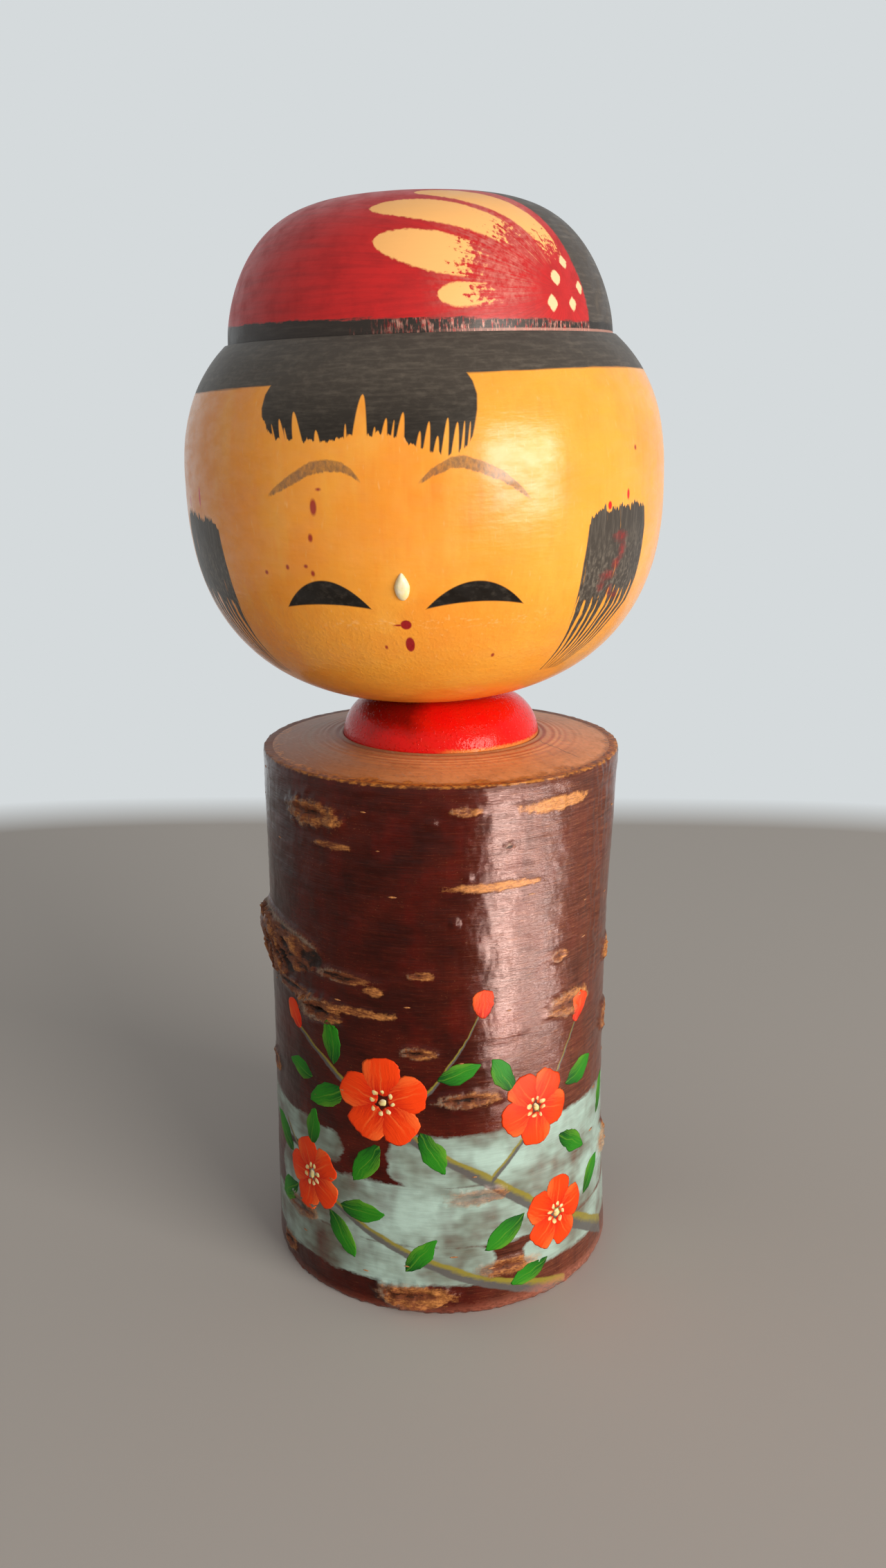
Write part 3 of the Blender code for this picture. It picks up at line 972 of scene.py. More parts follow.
    # Waves and rings that the gouge left, and pimples in the varnish below the eyes
    pimple = f.grain(place, (0.55, 0.55, 0.6), 1.0)
    pimpled = f.ramp(abs(z - 112.0), 9.0, 3.0) * 0.8 + 0.15
    wave = f.grain(place, (6.0, 6.0, 4.0), 1.0)
    ripple = f.grain(place, (3.0, 3.0, 1.1), 2.0)
    turned = f.grain(f.join(blotch * 0.8, 0.0, z), (1.0, 1.0, 0.45), 2.0)
    f.relief(wave * 2.5 + ripple * 1.3 + turned * 0.3 + f.ramp(pimple, 0.45, 0.8) * pimpled * 0.7, 0.05)
    polish = f.grain(place, (3.2, 3.2, 1.6), 4.0)
    coat = f.ramp(polish, 0.36, 0.62) * 0.42 + 0.06
    roughness = 0.28 + hair * 0.16 + (blotch - 0.5) * 0.1
    f.set({"Base Color": skin, "Roughness": roughness, "Coat Weight": (1.0 - hair) * coat})
    return f


class Petal(NamedTuple):
    """A petal on the cap: where it fades in, is widest and ends, its half-width, bearing and bend."""

    fade: float
    widest: float
    tip: float
    half: float
    bearing: float
    bend: float


# The cap's flower opens from a point low on its right; distances and bearings are taken about that point
FLOWER_HEART = Vector((21.0, -20.0, 5.0))
FLOWER_LEFT = Vector((-0.69, -0.724, 0.0))
PETALS = (
    Petal(7.0, 17.0, 25.2, 3.1, 102.0, -2.1),
    Petal(12.0, 20.0, 29.3, 2.9, 58.5, -0.93),
    Petal(15.5, 20.0, 27.8, 3.3, 17.5, 0.0),
    Petal(14.0, 16.5, 19.8, 1.7, -1.5, 0.0),
)
STAMEN_DOTS = (
    Drop(-4.6, 4.2, 0.75, 0.95),
    Drop(-1.9, 2.0, 1.0, 1.1),
    Drop(-7.0, 0.8, 0.75, 0.95),
    Drop(-0.3, -1.5, 0.95, 1.2),
    Drop(-4.6, -1.6, 0.75, 1.0),
)
CAP_PART = (
    (-30.0, 3.0),
    (-26.0, -2.0),
    (-20.0, -7.0),
    (-12.0, -10.8),
    (0.0, -12.6),
    (12.0, -12.7),
    (18.0, -14.6),
    (23.0, -16.2),
    (30.0, -16.8),
)


def petal_mask(f, far, bearing, petal, streak, fine):
    """Bare wood of one petal, which breaks into fine lines towards the flower's heart."""
    off = abs(bearing - petal.bearing - far * petal.bend) * far * radians(1)
    past = (0.0 | (far - petal.widest)) / (petal.tip - petal.widest)
    half = (0.0 | (1.0 - past * past)) ** 0.5 * (0.45 + (far / petal.widest & 1.0) * 0.55) * petal.half
    shape = f.inside((off - half + (fine - 0.5) * 0.9) | (far - petal.tip), 0.35)
    fade = f.ramp(far, petal.fade + 6.0, petal.fade - 5.0)
    return shape * f.ramp(streak * 0.35 + fine * 0.65 - fade * 0.5, 0.2, 0.28)


def diamond(left, up, dot):
    """Rough distance to the outline of a dab that a flat brush left standing on its blunt corner."""
    across = abs(left - dot.u) / dot.wide
    along = abs(up - dot.z) / dot.tall
    return (across**1.4 + along**1.4 - 0.95) * min(dot.wide, dot.tall)


def cap_finish():
    p = paints()
    f = Finish("painted_cap_wood", {"Specular IOR Level": 0.38, "Specular Tint": (1.0, 0.86, 0.8)})
    foot = NECK @ Matrix.Translation((0, 0, CAP_FOOT))
    place = f.place(foot)
    x, y, z = f.split(place)
    from_heart = f.vector_math("SUBTRACT", place, tuple(FLOWER_HEART))
    far = f.vector_math("LENGTH", from_heart)
    left = f.vector_math("DOT_PRODUCT", from_heart, tuple(FLOWER_LEFT))
    up = z - FLOWER_HEART.z
    bearing = f.math("ARCTAN2", up, left) * (180 / pi)

    streak = f.grain(f.join(bearing * 0.55, far * 0.09), (1, 1, 1), 3.0)
    fine = f.grain(place, (0.7, 0.7, 0.7), 3.0)
    sweep = f.grain(place, (5.0, 5.0, 0.5), 3.0)
    scuff = f.grain(place, (3.0, 3.0, 3.0), 4.0)
    red = f.mix(f.ramp(streak, 0.42, 0.75) * 0.5 + f.ramp(scuff, 0.42, 0.75) * 0.4, p.cap, p.cap_deep)
    petals = union([petal_mask(f, far, bearing, petal, streak, fine) for petal in PETALS])
    rays = f.ramp(streak + fine * 0.3, 0.78, 0.9) * f.ramp(far, 17.0, 9.0) * f.ramp(far, 3.0, 6.0)
    bare = petals | rays * f.ramp(bearing, -12.0, -4.0) * f.ramp(bearing, 95.0, 85.0) * 0.6
    sector = f.ramp(bearing, -14.0, -4.0) * f.ramp(bearing, 98.0, 84.0)
    sector = sector * f.ramp(far, 22.0, 14.0) * f.ramp(far, 4.0, 9.0)
    veil = f.ramp(streak * 0.5 + fine * 0.5, 0.42, 0.62) * sector
    front = f.mix(bare, f.mix(veil * 0.4, red, p.cap_bare), p.petal)
    dabs = [diamond(left - 3.0, up, dot) + (fine - 0.5) * 0.9 for dot in STAMEN_DOTS]
    dots = union([f.inside(outline, 0.3) for outline in dabs])
    front = f.mix(dots, front, p.cap_dot)

    # Black behind, and a black line round the foot that wears through on the right
    behind = f.inside(f.curve(x, CAP_PART) - y + (fine - 0.5) * 0.5, 0.35)
    scratch = f.grain(place, (0.3, 0.3, 1.8), 3.0)
    line = f.inside(z - 1.7 + x * 0.025 + (sweep - 0.5) * 1.2 + (fine - 0.5) * 0.6, 0.3)
    on_right = f.ramp(x + (scuff - 0.5) * 20.0, -8.0, 6.0)
    rubbed = f.ramp(scratch, 0.5, 0.64) * on_right * (1.0 - behind) * 0.85
    black = f.mix(f.ramp(sweep, 0.5, 0.85) * 0.5 + f.ramp(scuff, 0.55, 0.8) * 0.35, p.hair, p.hair_worn)
    black = f.mix(line * 0.7, black, p.eye)
    black = f.mix(line * rubbed, black, f.mix(f.ramp(fine, 0.4, 0.6), p.cap, p.cap_bare))
    seam = f.ramp(z + (scratch - 0.5) * 0.3, 0.16, 0.06) * f.ramp(x, 2.0, 14.0)
    black = f.mix(seam * 0.5, black, p.cap_bare)
    skin = f.mix(line | behind, front, black)
    f.relief(sweep * 0.6 + fine * 0.4, 0.05)
    f.set({"Base Color": skin, "Roughness": 0.36 + f.ramp(scuff, 0.4, 0.8) * 0.2 + behind * 0.06})
    return f


def collar_finish():
    p = paints()
    f = Finish("red_lacquer_coat", {"Specular IOR Level": 0.36, "Specular Tint": (1.0, 0.5, 0.46)})
    place = f.place()
    cloud = f.grain(place, (4.0, 4.0, 2.0), 3.0)
    speck = f.grain(place, (0.5, 0.5, 0.4), 2.0)
    red = f.mix(f.ramp(cloud, 0.35, 0.75) * 0.5, p.collar, p.flower_deep)
    red = f.mix(f.ramp(speck, 0.28, 0.2) * 0.8, red, p.cap_deep)
    x, _, z = f.split(place)
    # Painted shade and reflection of the head: the lacquer is laid darker high on the collar's left, under
    # the head
    aside = abs(x + 8.0 + (cloud - 0.5) * 5.0)
    head_shade = f.ramp(z + (cloud - 0.5) * 4.0, 94.8, 97.6) * f.ramp(aside, 6.5, 3.5)
    red = f.mix(head_shade * 0.75, red, p.collar_painted_shade)
    seat = (LOG_TOP - SEAT_DROP) / MM
    worn = f.ramp(z + (speck - 0.5) * 0.8, seat + 0.75, seat + 0.35) * f.ramp(x + cloud * 6.0, 2.0, 7.0)
    f.relief(speck * 0.7 + cloud * 0.3 + f.ramp(speck, 0.6, 0.75) * 0.6, 0.09)
    f.set({"Base Color": f.mix(worn * 0.8, red, p.rim), "Roughness": 0.08 + cloud * 0.14})
    return f


# Where the crack in the log's top leaves the collar, the way that it runs, and half its length
CRACK_START = Vector((16.1, -6.6))
CRACK_AIM = Vector((0.694, -0.72))
CRACK_HALF = 4.5


def log_finish():
    p = paints()
    f = Finish("waxed_end_grain", {"Specular IOR Level": 0.4, "Specular Tint": (1.0, 0.84, 0.7)})
    place = f.place()
    x, y, z = f.split(place)
    radius = (x * x + y * y) ** 0.5
    ring = f.grain(f.join(radius * 1.4, x * 0.03, y * 0.03), (1, 1, 1), 4.0)
    ray = f.grain(f.join(x / radius * 16.0, y / radius * 16.0, radius * 0.12), (1, 1, 1), 3.0)
    cloud = f.grain(place, (5.0, 5.0, 5.0), 4.0)
    # Painted shade: the rings and then the whole top are laid darker towards the left, away from the window
    ringed = f.ramp(ring, 0.45, 0.75) * (f.ramp(x, 4.0, -6.0) * 0.2 + 0.12)
    brown = f.mix(ringed + f.ramp(cloud, 0.42, 0.75) * 0.35, p.log, p.log_deep_and_shade)
    brown = f.mix(f.ramp(ray, 0.55, 0.75) * 0.25, brown, p.rim)
    brown = f.mix(f.ramp(x, -2.0, -22.0) * 0.75, brown, p.log_deep_and_shade)
    # Painted sheen: pale rings on the left of the top, where its wax mirrors the pale surroundings
    on_left = f.ramp(x + (cloud - 0.5) * 8.0, -5.0, -16.0)
    dull = f.ramp(ring, 0.42, 0.66) * on_left * f.ramp(radius, 26.5, 22.0)
    brown = f.mix(dull * 0.5, brown, p.log_sheen)

    # Grooves round the collar's seat, a crack on the right, and a rim that wears through in chips
    turning = f.math("SINE", radius * 8.5 + cloud * 3.0)
    groove = f.ramp(turning, 0.1, 0.9) * f.ramp(radius, 20.2, 17.6) * f.ramp(x, 12.0, 0.0)
    seat = f.ramp(radius + (cloud - 0.5) * 3.0, 19.0, 16.8) * 0.6
    brown = f.mix((groove * 0.55) | seat, brown, p.log_deep_and_shade)
    beside, behind = x - CRACK_START.x, y - CRACK_START.y
    across = beside * -CRACK_AIM.y + behind * CRACK_AIM.x + (cloud - 0.5) * 1.6
    along = beside * CRACK_AIM.x + behind * CRACK_AIM.y
    crack = f.inside(abs(across) - 0.07, 0.12) * f.inside(abs(along - CRACK_HALF) - CRACK_HALF, 1.0)
    brown = f.mix(crack * 0.8, brown, p.crack)
    crumb = f.grain(place, (0.8, 0.8, 0.8), 3.0)
    scratch = f.grain(f.join(x + y * 0.6, y - x * 0.5, z), (0.35, 2.6, 1.0), 3.0)
    brown = f.mix(f.ramp(scratch, 0.56, 0.7) * 0.35, brown, p.log_sheen)
    brown = f.mix(f.ramp(crumb, 0.5, 0.72) * 0.3, brown, p.log_deep_and_shade)
    chips = f.ramp(crumb, 0.48, 0.6) * f.ramp(radius, 24.4, 26.8) * f.ramp(x, 19.0, 24.5)
    brown = f.mix(chips * 0.75, brown, p.cork)
    chip = f.ramp(cloud, 0.52, 0.72) * 2.2
    worn = f.ramp(radius + chip + (crumb - 0.5) * 1.4, 27.6, 28.2)
    brown = f.mix(worn * 0.9, brown, f.mix(f.ramp(crumb, 0.35, 0.65), p.log_deep_and_shade, p.rim))
    f.relief(ring * 0.3 + cloud * 0.6 + crumb * 0.35 - scratch * 0.2, 0.1)
    f.set({"Base Color": brown, "Roughness": 0.36 + ring * 0.12})
    return f


class Branch(NamedTuple):
    """A painted branch: points of its middle line from left to right, and its half-width at each end."""

    line: tuple
    left_half: float
    right_half: float


class Bar(NamedTuple):
    """A level bar of mist with round ends: its middle, half-length and half-height."""

    u: float
    z: float
    reach: float
    half: float


# The painting on the bark: bars of mist, a branch, a twig, a second branch and a second twig
MIST_BARS = (
    Bar(4.0, 18.0, 34.0, 5.6),
    Bar(22.0, 28.0, 26.0, 4.8),
    Bar(-16.0, 9.0, 22.0, 3.6),
    Bar(-32.0, 28.0, 12.0, 3.0),
    Bar(32.0, 9.0, 14.0, 3.0),
)
BRANCHES = (
    Branch(((-28.0, 47.5), (-20.0, 42.5), (-6.0, 33.0), (10.0, 23.0), (24.0, 12.5), (38.0, 4.0)), 0.45, 1.9),
    Branch(((9.0, 24.0), (16.0, 31.5), (22.0, 40.0), (27.5, 49.0)), 0.8, 0.35),
    Branch(((-33.0, 27.0), (-24.0, 20.0), (-12.0, 14.0), (2.0, 8.0), (14.0, 3.4), (24.0, 0.4)), 0.4, 1.5),
    Branch(((-8.0, 34.5), (-1.0, 41.0), (4.0, 48.0), (7.0, 54.0)), 0.7, 0.3),
)
# How far round from the front the bark's foot is rubbed most
FOOT_WEAR = 26.0


def bar_distance(u, z, bar):
    beyond = 0.0 | (abs(u - bar.u) - bar.reach)
    rise = z - bar.z
    return (beyond * beyond + rise * rise) ** 0.5 - bar.half


def bark_finish():
    p = paints()
    f = Finish("varnished_cherry_bark", {"Specular IOR Level": 0.26, "Specular Tint": (1.0, 0.67, 0.57)})
    place = f.place()
    u, z = f.round_and_up(place, LOG_RADIUS)
    patch = f.grain(place, (13.0, 13.0, 8.0), 3.0)
    streak = f.grain(place, (5.0, 5.0, 0.3), 4.0)
    fleck = f.grain(place, (1.5, 1.5, 0.14), 3.0)
    rough = f.grain(place, (0.9, 0.9, 0.45), 4.0)
    grit = f.grain(place, (0.4, 0.4, 0.25), 2.0)
    deep = f.grain(place, (6.0, 6.0, 9.0), 2.0)
    drip = f.grain(place, (1.6, 1.6, 22.0), 2.0)
    right = f.ramp(u, 4.0, 18.0) * f.ramp(u, 76.0, 44.0)
    bark = f.mix(f.ramp(patch, 0.38, 0.7) * 0.65 + f.ramp(streak, 0.45, 0.8) * 0.3, p.bark, p.bark_warm)
    bark = f.mix(f.ramp(deep, 0.5, 0.8) * 0.3, bark, p.bark_red)
    bark = f.mix(f.ramp(fleck, 0.46, 0.3) * 0.45, bark, p.crack)
    # Painted sheen: the right of the bark, turned to the window, is laid paler brown
    bark = f.mix(right * (f.ramp(streak, 0.35, 0.65) * 0.4 + 0.25), bark, p.bark_tan)
    # Real golden streaks, laid thicker on the right as painted sheen
    golden = f.ramp(fleck, 0.56, 0.74) * f.ramp(streak, 0.42, 0.64) * (right * 0.5 + 0.08)
    bark = f.mix(golden, bark, p.bark_streaks_and_glints)
    # Painted glints: gold specks where the varnish sparkles, more of them on the right
    painted_glints = f.ramp(grit, 0.64, 0.76) * f.ramp(patch, 0.42, 0.66) * (right * 0.3 + 0.3)
    bark = f.mix(painted_glints, bark, p.bark_streaks_and_glints)
    bark = f.mix(f.ramp(drip, 0.52, 0.75) * 0.3, bark, p.bark)
    wander = f.join(rough * 0.6, streak * 0.6, rough * 0.4)
    craze = f.ramp(f.crackle(f.vector_math("ADD", place, wander), (0.6, 0.6, 0.45)), 0.08, 0.0) * right

    # Painting: washes of mist, then the branches
    wisp = f.grain(place, (9.0, 9.0, 2.4), 3.0)
    nearest = bar_distance(u, z, MIST_BARS[0])
    for bar in MIST_BARS[1:]:
        nearest = nearest & bar_distance(u, z, bar)
    bare = f.ramp(deep, 0.52, 0.72) * 0.35 + f.ramp(patch, 0.48, 0.7) * 0.3
    thin = f.ramp(wisp, 0.25, 0.6) * 0.25 + 0.7 + (streak - 0.5) * 0.3 - bare
    wash = f.inside(nearest + (wisp - 0.5) * 2.4 + (rough - 0.5) * 0.8, 0.6) * thin
    bark = f.mix(wash, bark, f.mix(f.ramp(patch, 0.4, 0.65), p.mist, p.mist_deep))
    for branch in BRANCHES:
        start, end = branch.line[0][0], branch.line[-1][0]
        half = f.ramp(u, start, end) * (branch.right_half - branch.left_half) + branch.left_half
        over = z - f.curve(u, branch.line) + (wisp - 0.5) * 1.2
        within = f.inside(abs(u - (start + end) / 2) - (end - start) / 2, 0.4)
        limb = f.inside(abs(over) - half + (rough - 0.5) * 0.3, 0.3) * within
        lit = f.ramp(over / half + (rough - 0.5) * 0.8, -0.1, 0.5)
        bark = f.mix(limb * 0.95, bark, f.mix(lit, p.branch, p.branch_gold))

    # Cork marks show through, and both cut edges are worn
    fibre = f.grain(place, (0.35, 0.35, 1.6), 2.0)
    ragged = (rough - 0.5) * 0.5 + (fibre - 0.5) * 0.3 + (grit - 0.5) * 0.3
    cork = f.ramp(f.attribute("cork") + ragged, 0.1, 0.6) * (1.0 - wash * 0.45)
    tone = f.attribute("pale") + (fleck - 0.5) * 1.5 + (rough - 0.5) * 0.9 + (grit - 0.5) * 0.8
    bark = f.mix(cork, bark, cork_colour(f, tone, f.attribute("lip") + (fibre - 0.5) * 1.2))
    from_wear = abs(u - FOOT_WEAR)
    rubbed = f.ramp(from_wear, 40.0, 8.0) * 1.2
    foot = f.ramp(z + (rough - 0.5) * 3.0 + (patch - 0.5) * 3.0 - rubbed, 1.8, 0.4)
    edge = f.mix(f.ramp(from_wear + (rough - 0.5) * 30.0, 34.0, 4.0) * 0.7, p.bark_edge, p.foot_worn)
    bark = f.mix(foot * (f.ramp(rough, 0.4, 0.65) * 0.5 + 0.2), bark, edge)
    top = f.ramp(z + (rough - 0.5) * 0.6, LOG_HEIGHT / MM - 0.4, LOG_HEIGHT / MM - 0.1)
    beads = f.mix(f.ramp(rough, 0.4, 0.6) * f.ramp(abs(u - 16.0), 60.0, 32.0), p.log_deep_and_shade, p.rim)
    bark = f.mix(top * 0.85, bark, beads)
    wobble = f.grain(place, (3.5, 3.5, 5.0), 2.0)
    f.relief(wobble * 3.0 + streak * 0.45 + fleck * 0.3 + rough * (cork * 1.1 + 0.3) - craze * 0.1, 0.07)
    f.set({"Base Color": bark, "Roughness": 0.17 + (cork | top) * 0.3 + (streak - 0.5) * 0.18})
    return f


def cork_colour(f, tone, lip):
    """Cork and healed bark: black, brown, then golden as the tone rises, with grey fibres on lips."""
    p = paints()
    crumbs = f.mix(f.ramp(tone, 0.3, 1.15), p.cork_deep, p.cork)
    crumbs = f.mix(f.ramp(tone, 0.1, -0.4), crumbs, p.crack)
    return f.mix(f.ramp(lip, 0.35, 0.85) * 0.6, crumbs, p.cork_grey)


def knot_finish():
    f = Finish("healed_branch_stub", {"Coat Weight": 0.3, "Coat Roughness": 0.25})
    place = f.place()
    rough = f.grain(place, (1.2, 1.2, 2.6), 3.0)
    fibre = f.grain(place, (0.5, 0.5, 1.8), 2.0)
    tone = f.attribute("pale") + (rough - 0.5) * 0.9
    lip = f.attribute("lip") + (fibre - 0.5)
    f.relief(rough * 0.6 + fibre * 0.4, 0.12)
    f.set({"Base Color": cork_colour(f, tone, lip), "Roughness": 0.38 + rough * 0.2})
    return f


def plain_finish(name, under, over, pitch, roughness, rise):
    """A paint or wood with streaks of two colours and a little relief."""
    f = Finish(name, {})
    grain = f.grain(f.place(), pitch, 3.0)
    f.relief(grain, rise)
    streaked = f.mix(f.ramp(grain, 0.35, 0.7), under, over)
    f.set({"Base Color": streaked, "Roughness": roughness + grain * 0.15})
    return f


def dab_finish(name, foot, tip, light):
    """Thick paint: dark at the foot of each dab, light along one side and its vein, with brush marks."""
    f = Finish(name, {"Specular IOR Level": 0.12})
    along = f.attribute("along")
    aside = f.attribute("aside")
    blotch = f.grain(f.place(), (1.6, 1.6, 0.6), 3.0)
    brush = f.grain(f.join(along * 2.0, aside * 26.0, blotch * 1.5), (1, 1, 1), 3.0)
    paint = f.mix(f.ramp(along + (brush - 0.5) * 0.9, 0.1, 0.6), foot, tip)
    paint = f.mix(f.ramp(aside + (brush - 0.5) * 0.8, 0.12, 0.5) * 0.55, paint, light)
    vein = f.inside(abs(aside + (blotch - 0.5) * 0.06) - 0.02, 0.03) * f.ramp(along, 0.95, 0.5)
    paint = f.mix(vein * 0.5, paint, light)
    f.relief(brush * 0.7 + blotch * 0.3, 0.1)
    f.set({"Base Color": paint, "Roughness": 0.38 + brush * 0.2})
    return f


def flat_rows(points):
    """Rings of radius and height, with no sideways shift."""
    return [(r, 0.0, z) for r, z in points]


def head_rows():
    """Outline of the head: dowel's bore, bowl, belly, shoulder and the mortise for the cap."""
    step = bpy.context.scene.doll_sizes.lathe_step
    outer = [ring for ring in HEAD_RINGS if ring[0] > HEAD_INSIDE]
    foot, top = outer[0][1], outer[-1][1]
    inner = [ring for ring in HEAD_RINGS if ring[0] <= HEAD_INSIDE]
    socket_floor = inner[0][1]
    mortise, mortise_floor = inner[-1]
    return flat_rows(
        [
            (0, socket_floor),
            (BORE_RADIUS, socket_floor),
            (BORE_RADIUS, foot),
            *smooth_path(outer, step),
            (mortise, top),
            (mortise, mortise_floor),
            (0, mortise_floor),
        ]
    )


class DOLL_OT_head(Operator):
    """Turn and paint the head"""

    bl_idname = "doll.head"
    bl_label = "Head"

    def execute(self, context):
        finish = head_finish()
        mesh = turned_mesh("painted_head", head_rows(), finish, seed=3.0, placing=NECK)
        add_piece(mesh, finish, "head", "head_wood", "head_block")
        return {"FINISHED"}


# How far the cap's foot goes down into the crease, so that no gap shows
CREASE_FILL = 0.26 * MM


class DOLL_OT_cap(Operator):
    """Turn and paint the cap"""

    bl_idname = "doll.cap"
    bl_label = "Cap"

    def execute(self, context):
        step = context.scene.doll_sizes.lathe_step
        tenon, tenon_foot = CAP_RINGS[0]
        dome = smooth_path([ring for ring in CAP_RINGS if ring[1] >= CAP_FOOT], step)
        dome[-1][0] = 0.0
        foot = CAP_FOOT - CREASE_FILL
        outline = [(0, tenon_foot), (tenon, tenon_foot), (tenon, foot), (CAP_RADIUS, foot), *dome]
        finish = cap_finish()
        mesh = turned_mesh("painted_cap", flat_rows(outline), finish, seed=11.0, placing=NECK)
        add_piece(mesh, finish, "head", "cap_paint", "head_cap")
        return {"FINISHED"}


def on_head(turn, height, lift):
    """A point this far off the head's face, in the neck's frame."""
    outer = [ring for ring in HEAD_RINGS if ring[0] > HEAD_INSIDE]
    radii, heights = smooth_path(outer, 0.2 * MM).T
    radius = np.interp(height, heights, radii)
    slope = np.interp(height, heights, np.gradient(radii, heights))
    steep = 1 / np.sqrt(1 + slope**2)
    out = radius + lift * steep
    return np.stack([out * np.sin(turn), -out * np.cos(turn), height - lift * slope * steep], axis=-1)


# How far the nose stands off the face, its edge dips into it and its back lies behind it
NOSE_RISE = 0.75 * MM
NOSE_EDGE = 0.05 * MM
NOSE_BACK = 0.25 * MM


class DOLL_OT_nose(Operator):
    """Set the drop of thick paint that makes the nose"""

    bl_idname = "doll.nose"
    bl_label = "Nose"

    def execute(self, context):
        low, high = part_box("nose_drop")
        middle = NECK.inverted() @ ((low + high) / 2)
        half_width = (high.x - low.x) / 2
        half_length = (high.z - low.z) / 2
        angle = np.linspace(0, 2 * pi, 48, endpoint=False)[None, :]
        share = np.linspace(0, 1, 16)[:, None]
        up = share * np.cos(angle)
        # A drop that fell from a pointed brush: slim at its top, full at its foot
        across = share * np.sin(angle) * (1 - 0.5 * np.clip(up, 0, 1) ** 1.2)
        turn = atan2(middle.x, -middle.y) + across * half_width / HEAD_RADIUS
        height = middle.z + up * half_length
        front = on_head(turn, height, NOSE_RISE * (1 - share**3) ** 0.7 - NOSE_EDGE)
        back = on_head(turn, height, np.full(turn.shape, -NOSE_BACK))
        mesh = sheet_mesh("nose_paint", np.concatenate([front, back[::-1]]), wrap_rows=False)
        mesh.transform(NECK)
        tidy_normals(mesh, radians(60), join_poles=True)
        p = paints()
        finish = plain_finish("cream_paint", p.nose, p.stamen, (1.2, 1.2, 1.2), 0.3, 0.08)
        add_piece(mesh, finish, "head", "white_paint", "nose_drop")
        return {"FINISHED"}


# The collar is widest where it meets the log's top, by this more than its solid, and rounds in to the neck
COLLAR_FLARE = 0.35 * MM
COLLAR_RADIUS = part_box("neck_collar")[1].x + COLLAR_FLARE
COLLAR_ROUND = 2.0
# The collar's wall is thicker than this all the way up
COLLAR_WALL = 2 * MM
# The log's top round the collar lies this far below the solid's
SEAT_DROP = 0.6 * MM
# Room under the collar and the dowel in the log, and round the collar's foot
GLUE_ROOM = 0.2 * MM
SEAT_GAP = 0.04 * MM
# How far below the log's top the collar's bulge starts, and how much slimmer the collar is below that
COLLAR_SPRING = 0.3 * MM


class DOLL_OT_collar(Operator):
    """Turn and lacquer the collar"""

    bl_idname = "doll.collar"
    bl_label = "Collar"

    def execute(self, context):
        low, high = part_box("neck_collar")
        foot, top = low.z, high.z
        neck = min(r for r, _ in rings_of("neck_collar", PLUMB) if r > BORE_RADIUS + COLLAR_WALL)
        share = np.linspace(0, 1, 32)
        bulge = (1 - share**COLLAR_ROUND) ** (1 / COLLAR_ROUND)
        spring = LOG_TOP - SEAT_DROP - COLLAR_SPRING
        dome = zip(neck + (COLLAR_RADIUS - neck) * bulge, spring + (top - spring) * share)
        bore_foot = (BORE_RADIUS, neck_shift(foot), foot)
        bore_top = (BORE_RADIUS, neck_shift(top), top)
        side = [(COLLAR_RADIUS - COLLAR_SPRING, foot), *dome]
        finish = collar_finish()
        rows = [bore_foot, *flat_rows(side), bore_top, bore_foot]
        mesh = turned_mesh("lacquered_collar", rows, finish, seed=23.0)
        add_piece(mesh, finish, "torso", "red_lacquer", "neck_collar")
        return {"FINISHED"}


def log_rows(context):
    """Outline of the log's wood: dowel hole, collar's seat, grooved crown, side and foot."""
    sizes = context.scene.doll_sizes
    seat_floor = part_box("neck_collar")[0].z - GLUE_ROOM
    hole_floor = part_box("neck_dowel")[0].z - GLUE_ROOM
    seat_radius = COLLAR_RADIUS + SEAT_GAP
    outer = LOG_RADIUS - sizes.bark_wall
    radii = np.linspace(seat_radius, outer, 90)
    share = (outer**2 - radii**2) / (outer**2 - seat_radius**2)
    crown = LOG_HEIGHT + (LOG_TOP - SEAT_DROP - LOG_HEIGHT) * share
    # Grooves that the gouge left round the collar's seat, dying out towards the rim
    from_seat = (radii - seat_radius) / MM
    grooves = np.sin(from_seat * 5.2 + np.sin(from_seat * 1.7)) * np.exp(-from_seat / 2.6)
    crown += sizes.groove * grooves
    heights = LOG_HEIGHT * np.linspace(0.97, 0, 12)
    side = [(outer - CORE_WAIST * sin(pi * z / LOG_HEIGHT), z) for z in heights]
    return [
        (0, neck_shift(hole_floor), hole_floor),
        (BORE_RADIUS, neck_shift(hole_floor), hole_floor),
        (BORE_RADIUS, neck_shift(seat_floor), seat_floor),
        *flat_rows([(seat_radius, seat_floor), *zip(radii, crown), *side, (0, 0)]),
    ]


class DOLL_OT_log(Operator):
    """Turn the log's wood, with its crowned and grooved top"""

    bl_idname = "doll.log"
    bl_label = "Log"

    def execute(self, context):
        finish = log_finish()
        mesh = turned_mesh("turned_log", log_rows(context), finish, seed=31.0)
        add_piece(mesh, finish, "torso", "log_wood", "log_core")
        return {"FINISHED"}


class Mark(NamedTuple):
    """A mark in the bark: turn in degrees; height, half-width, half-height and rise in millimetres; and
    its cork, from 0 for dark and rough to 1 for pale and flat, or less than 0 for a bump with none."""

    turn: float
    z: float
    wide: float
    tall: float
    rise: float
    pale: float


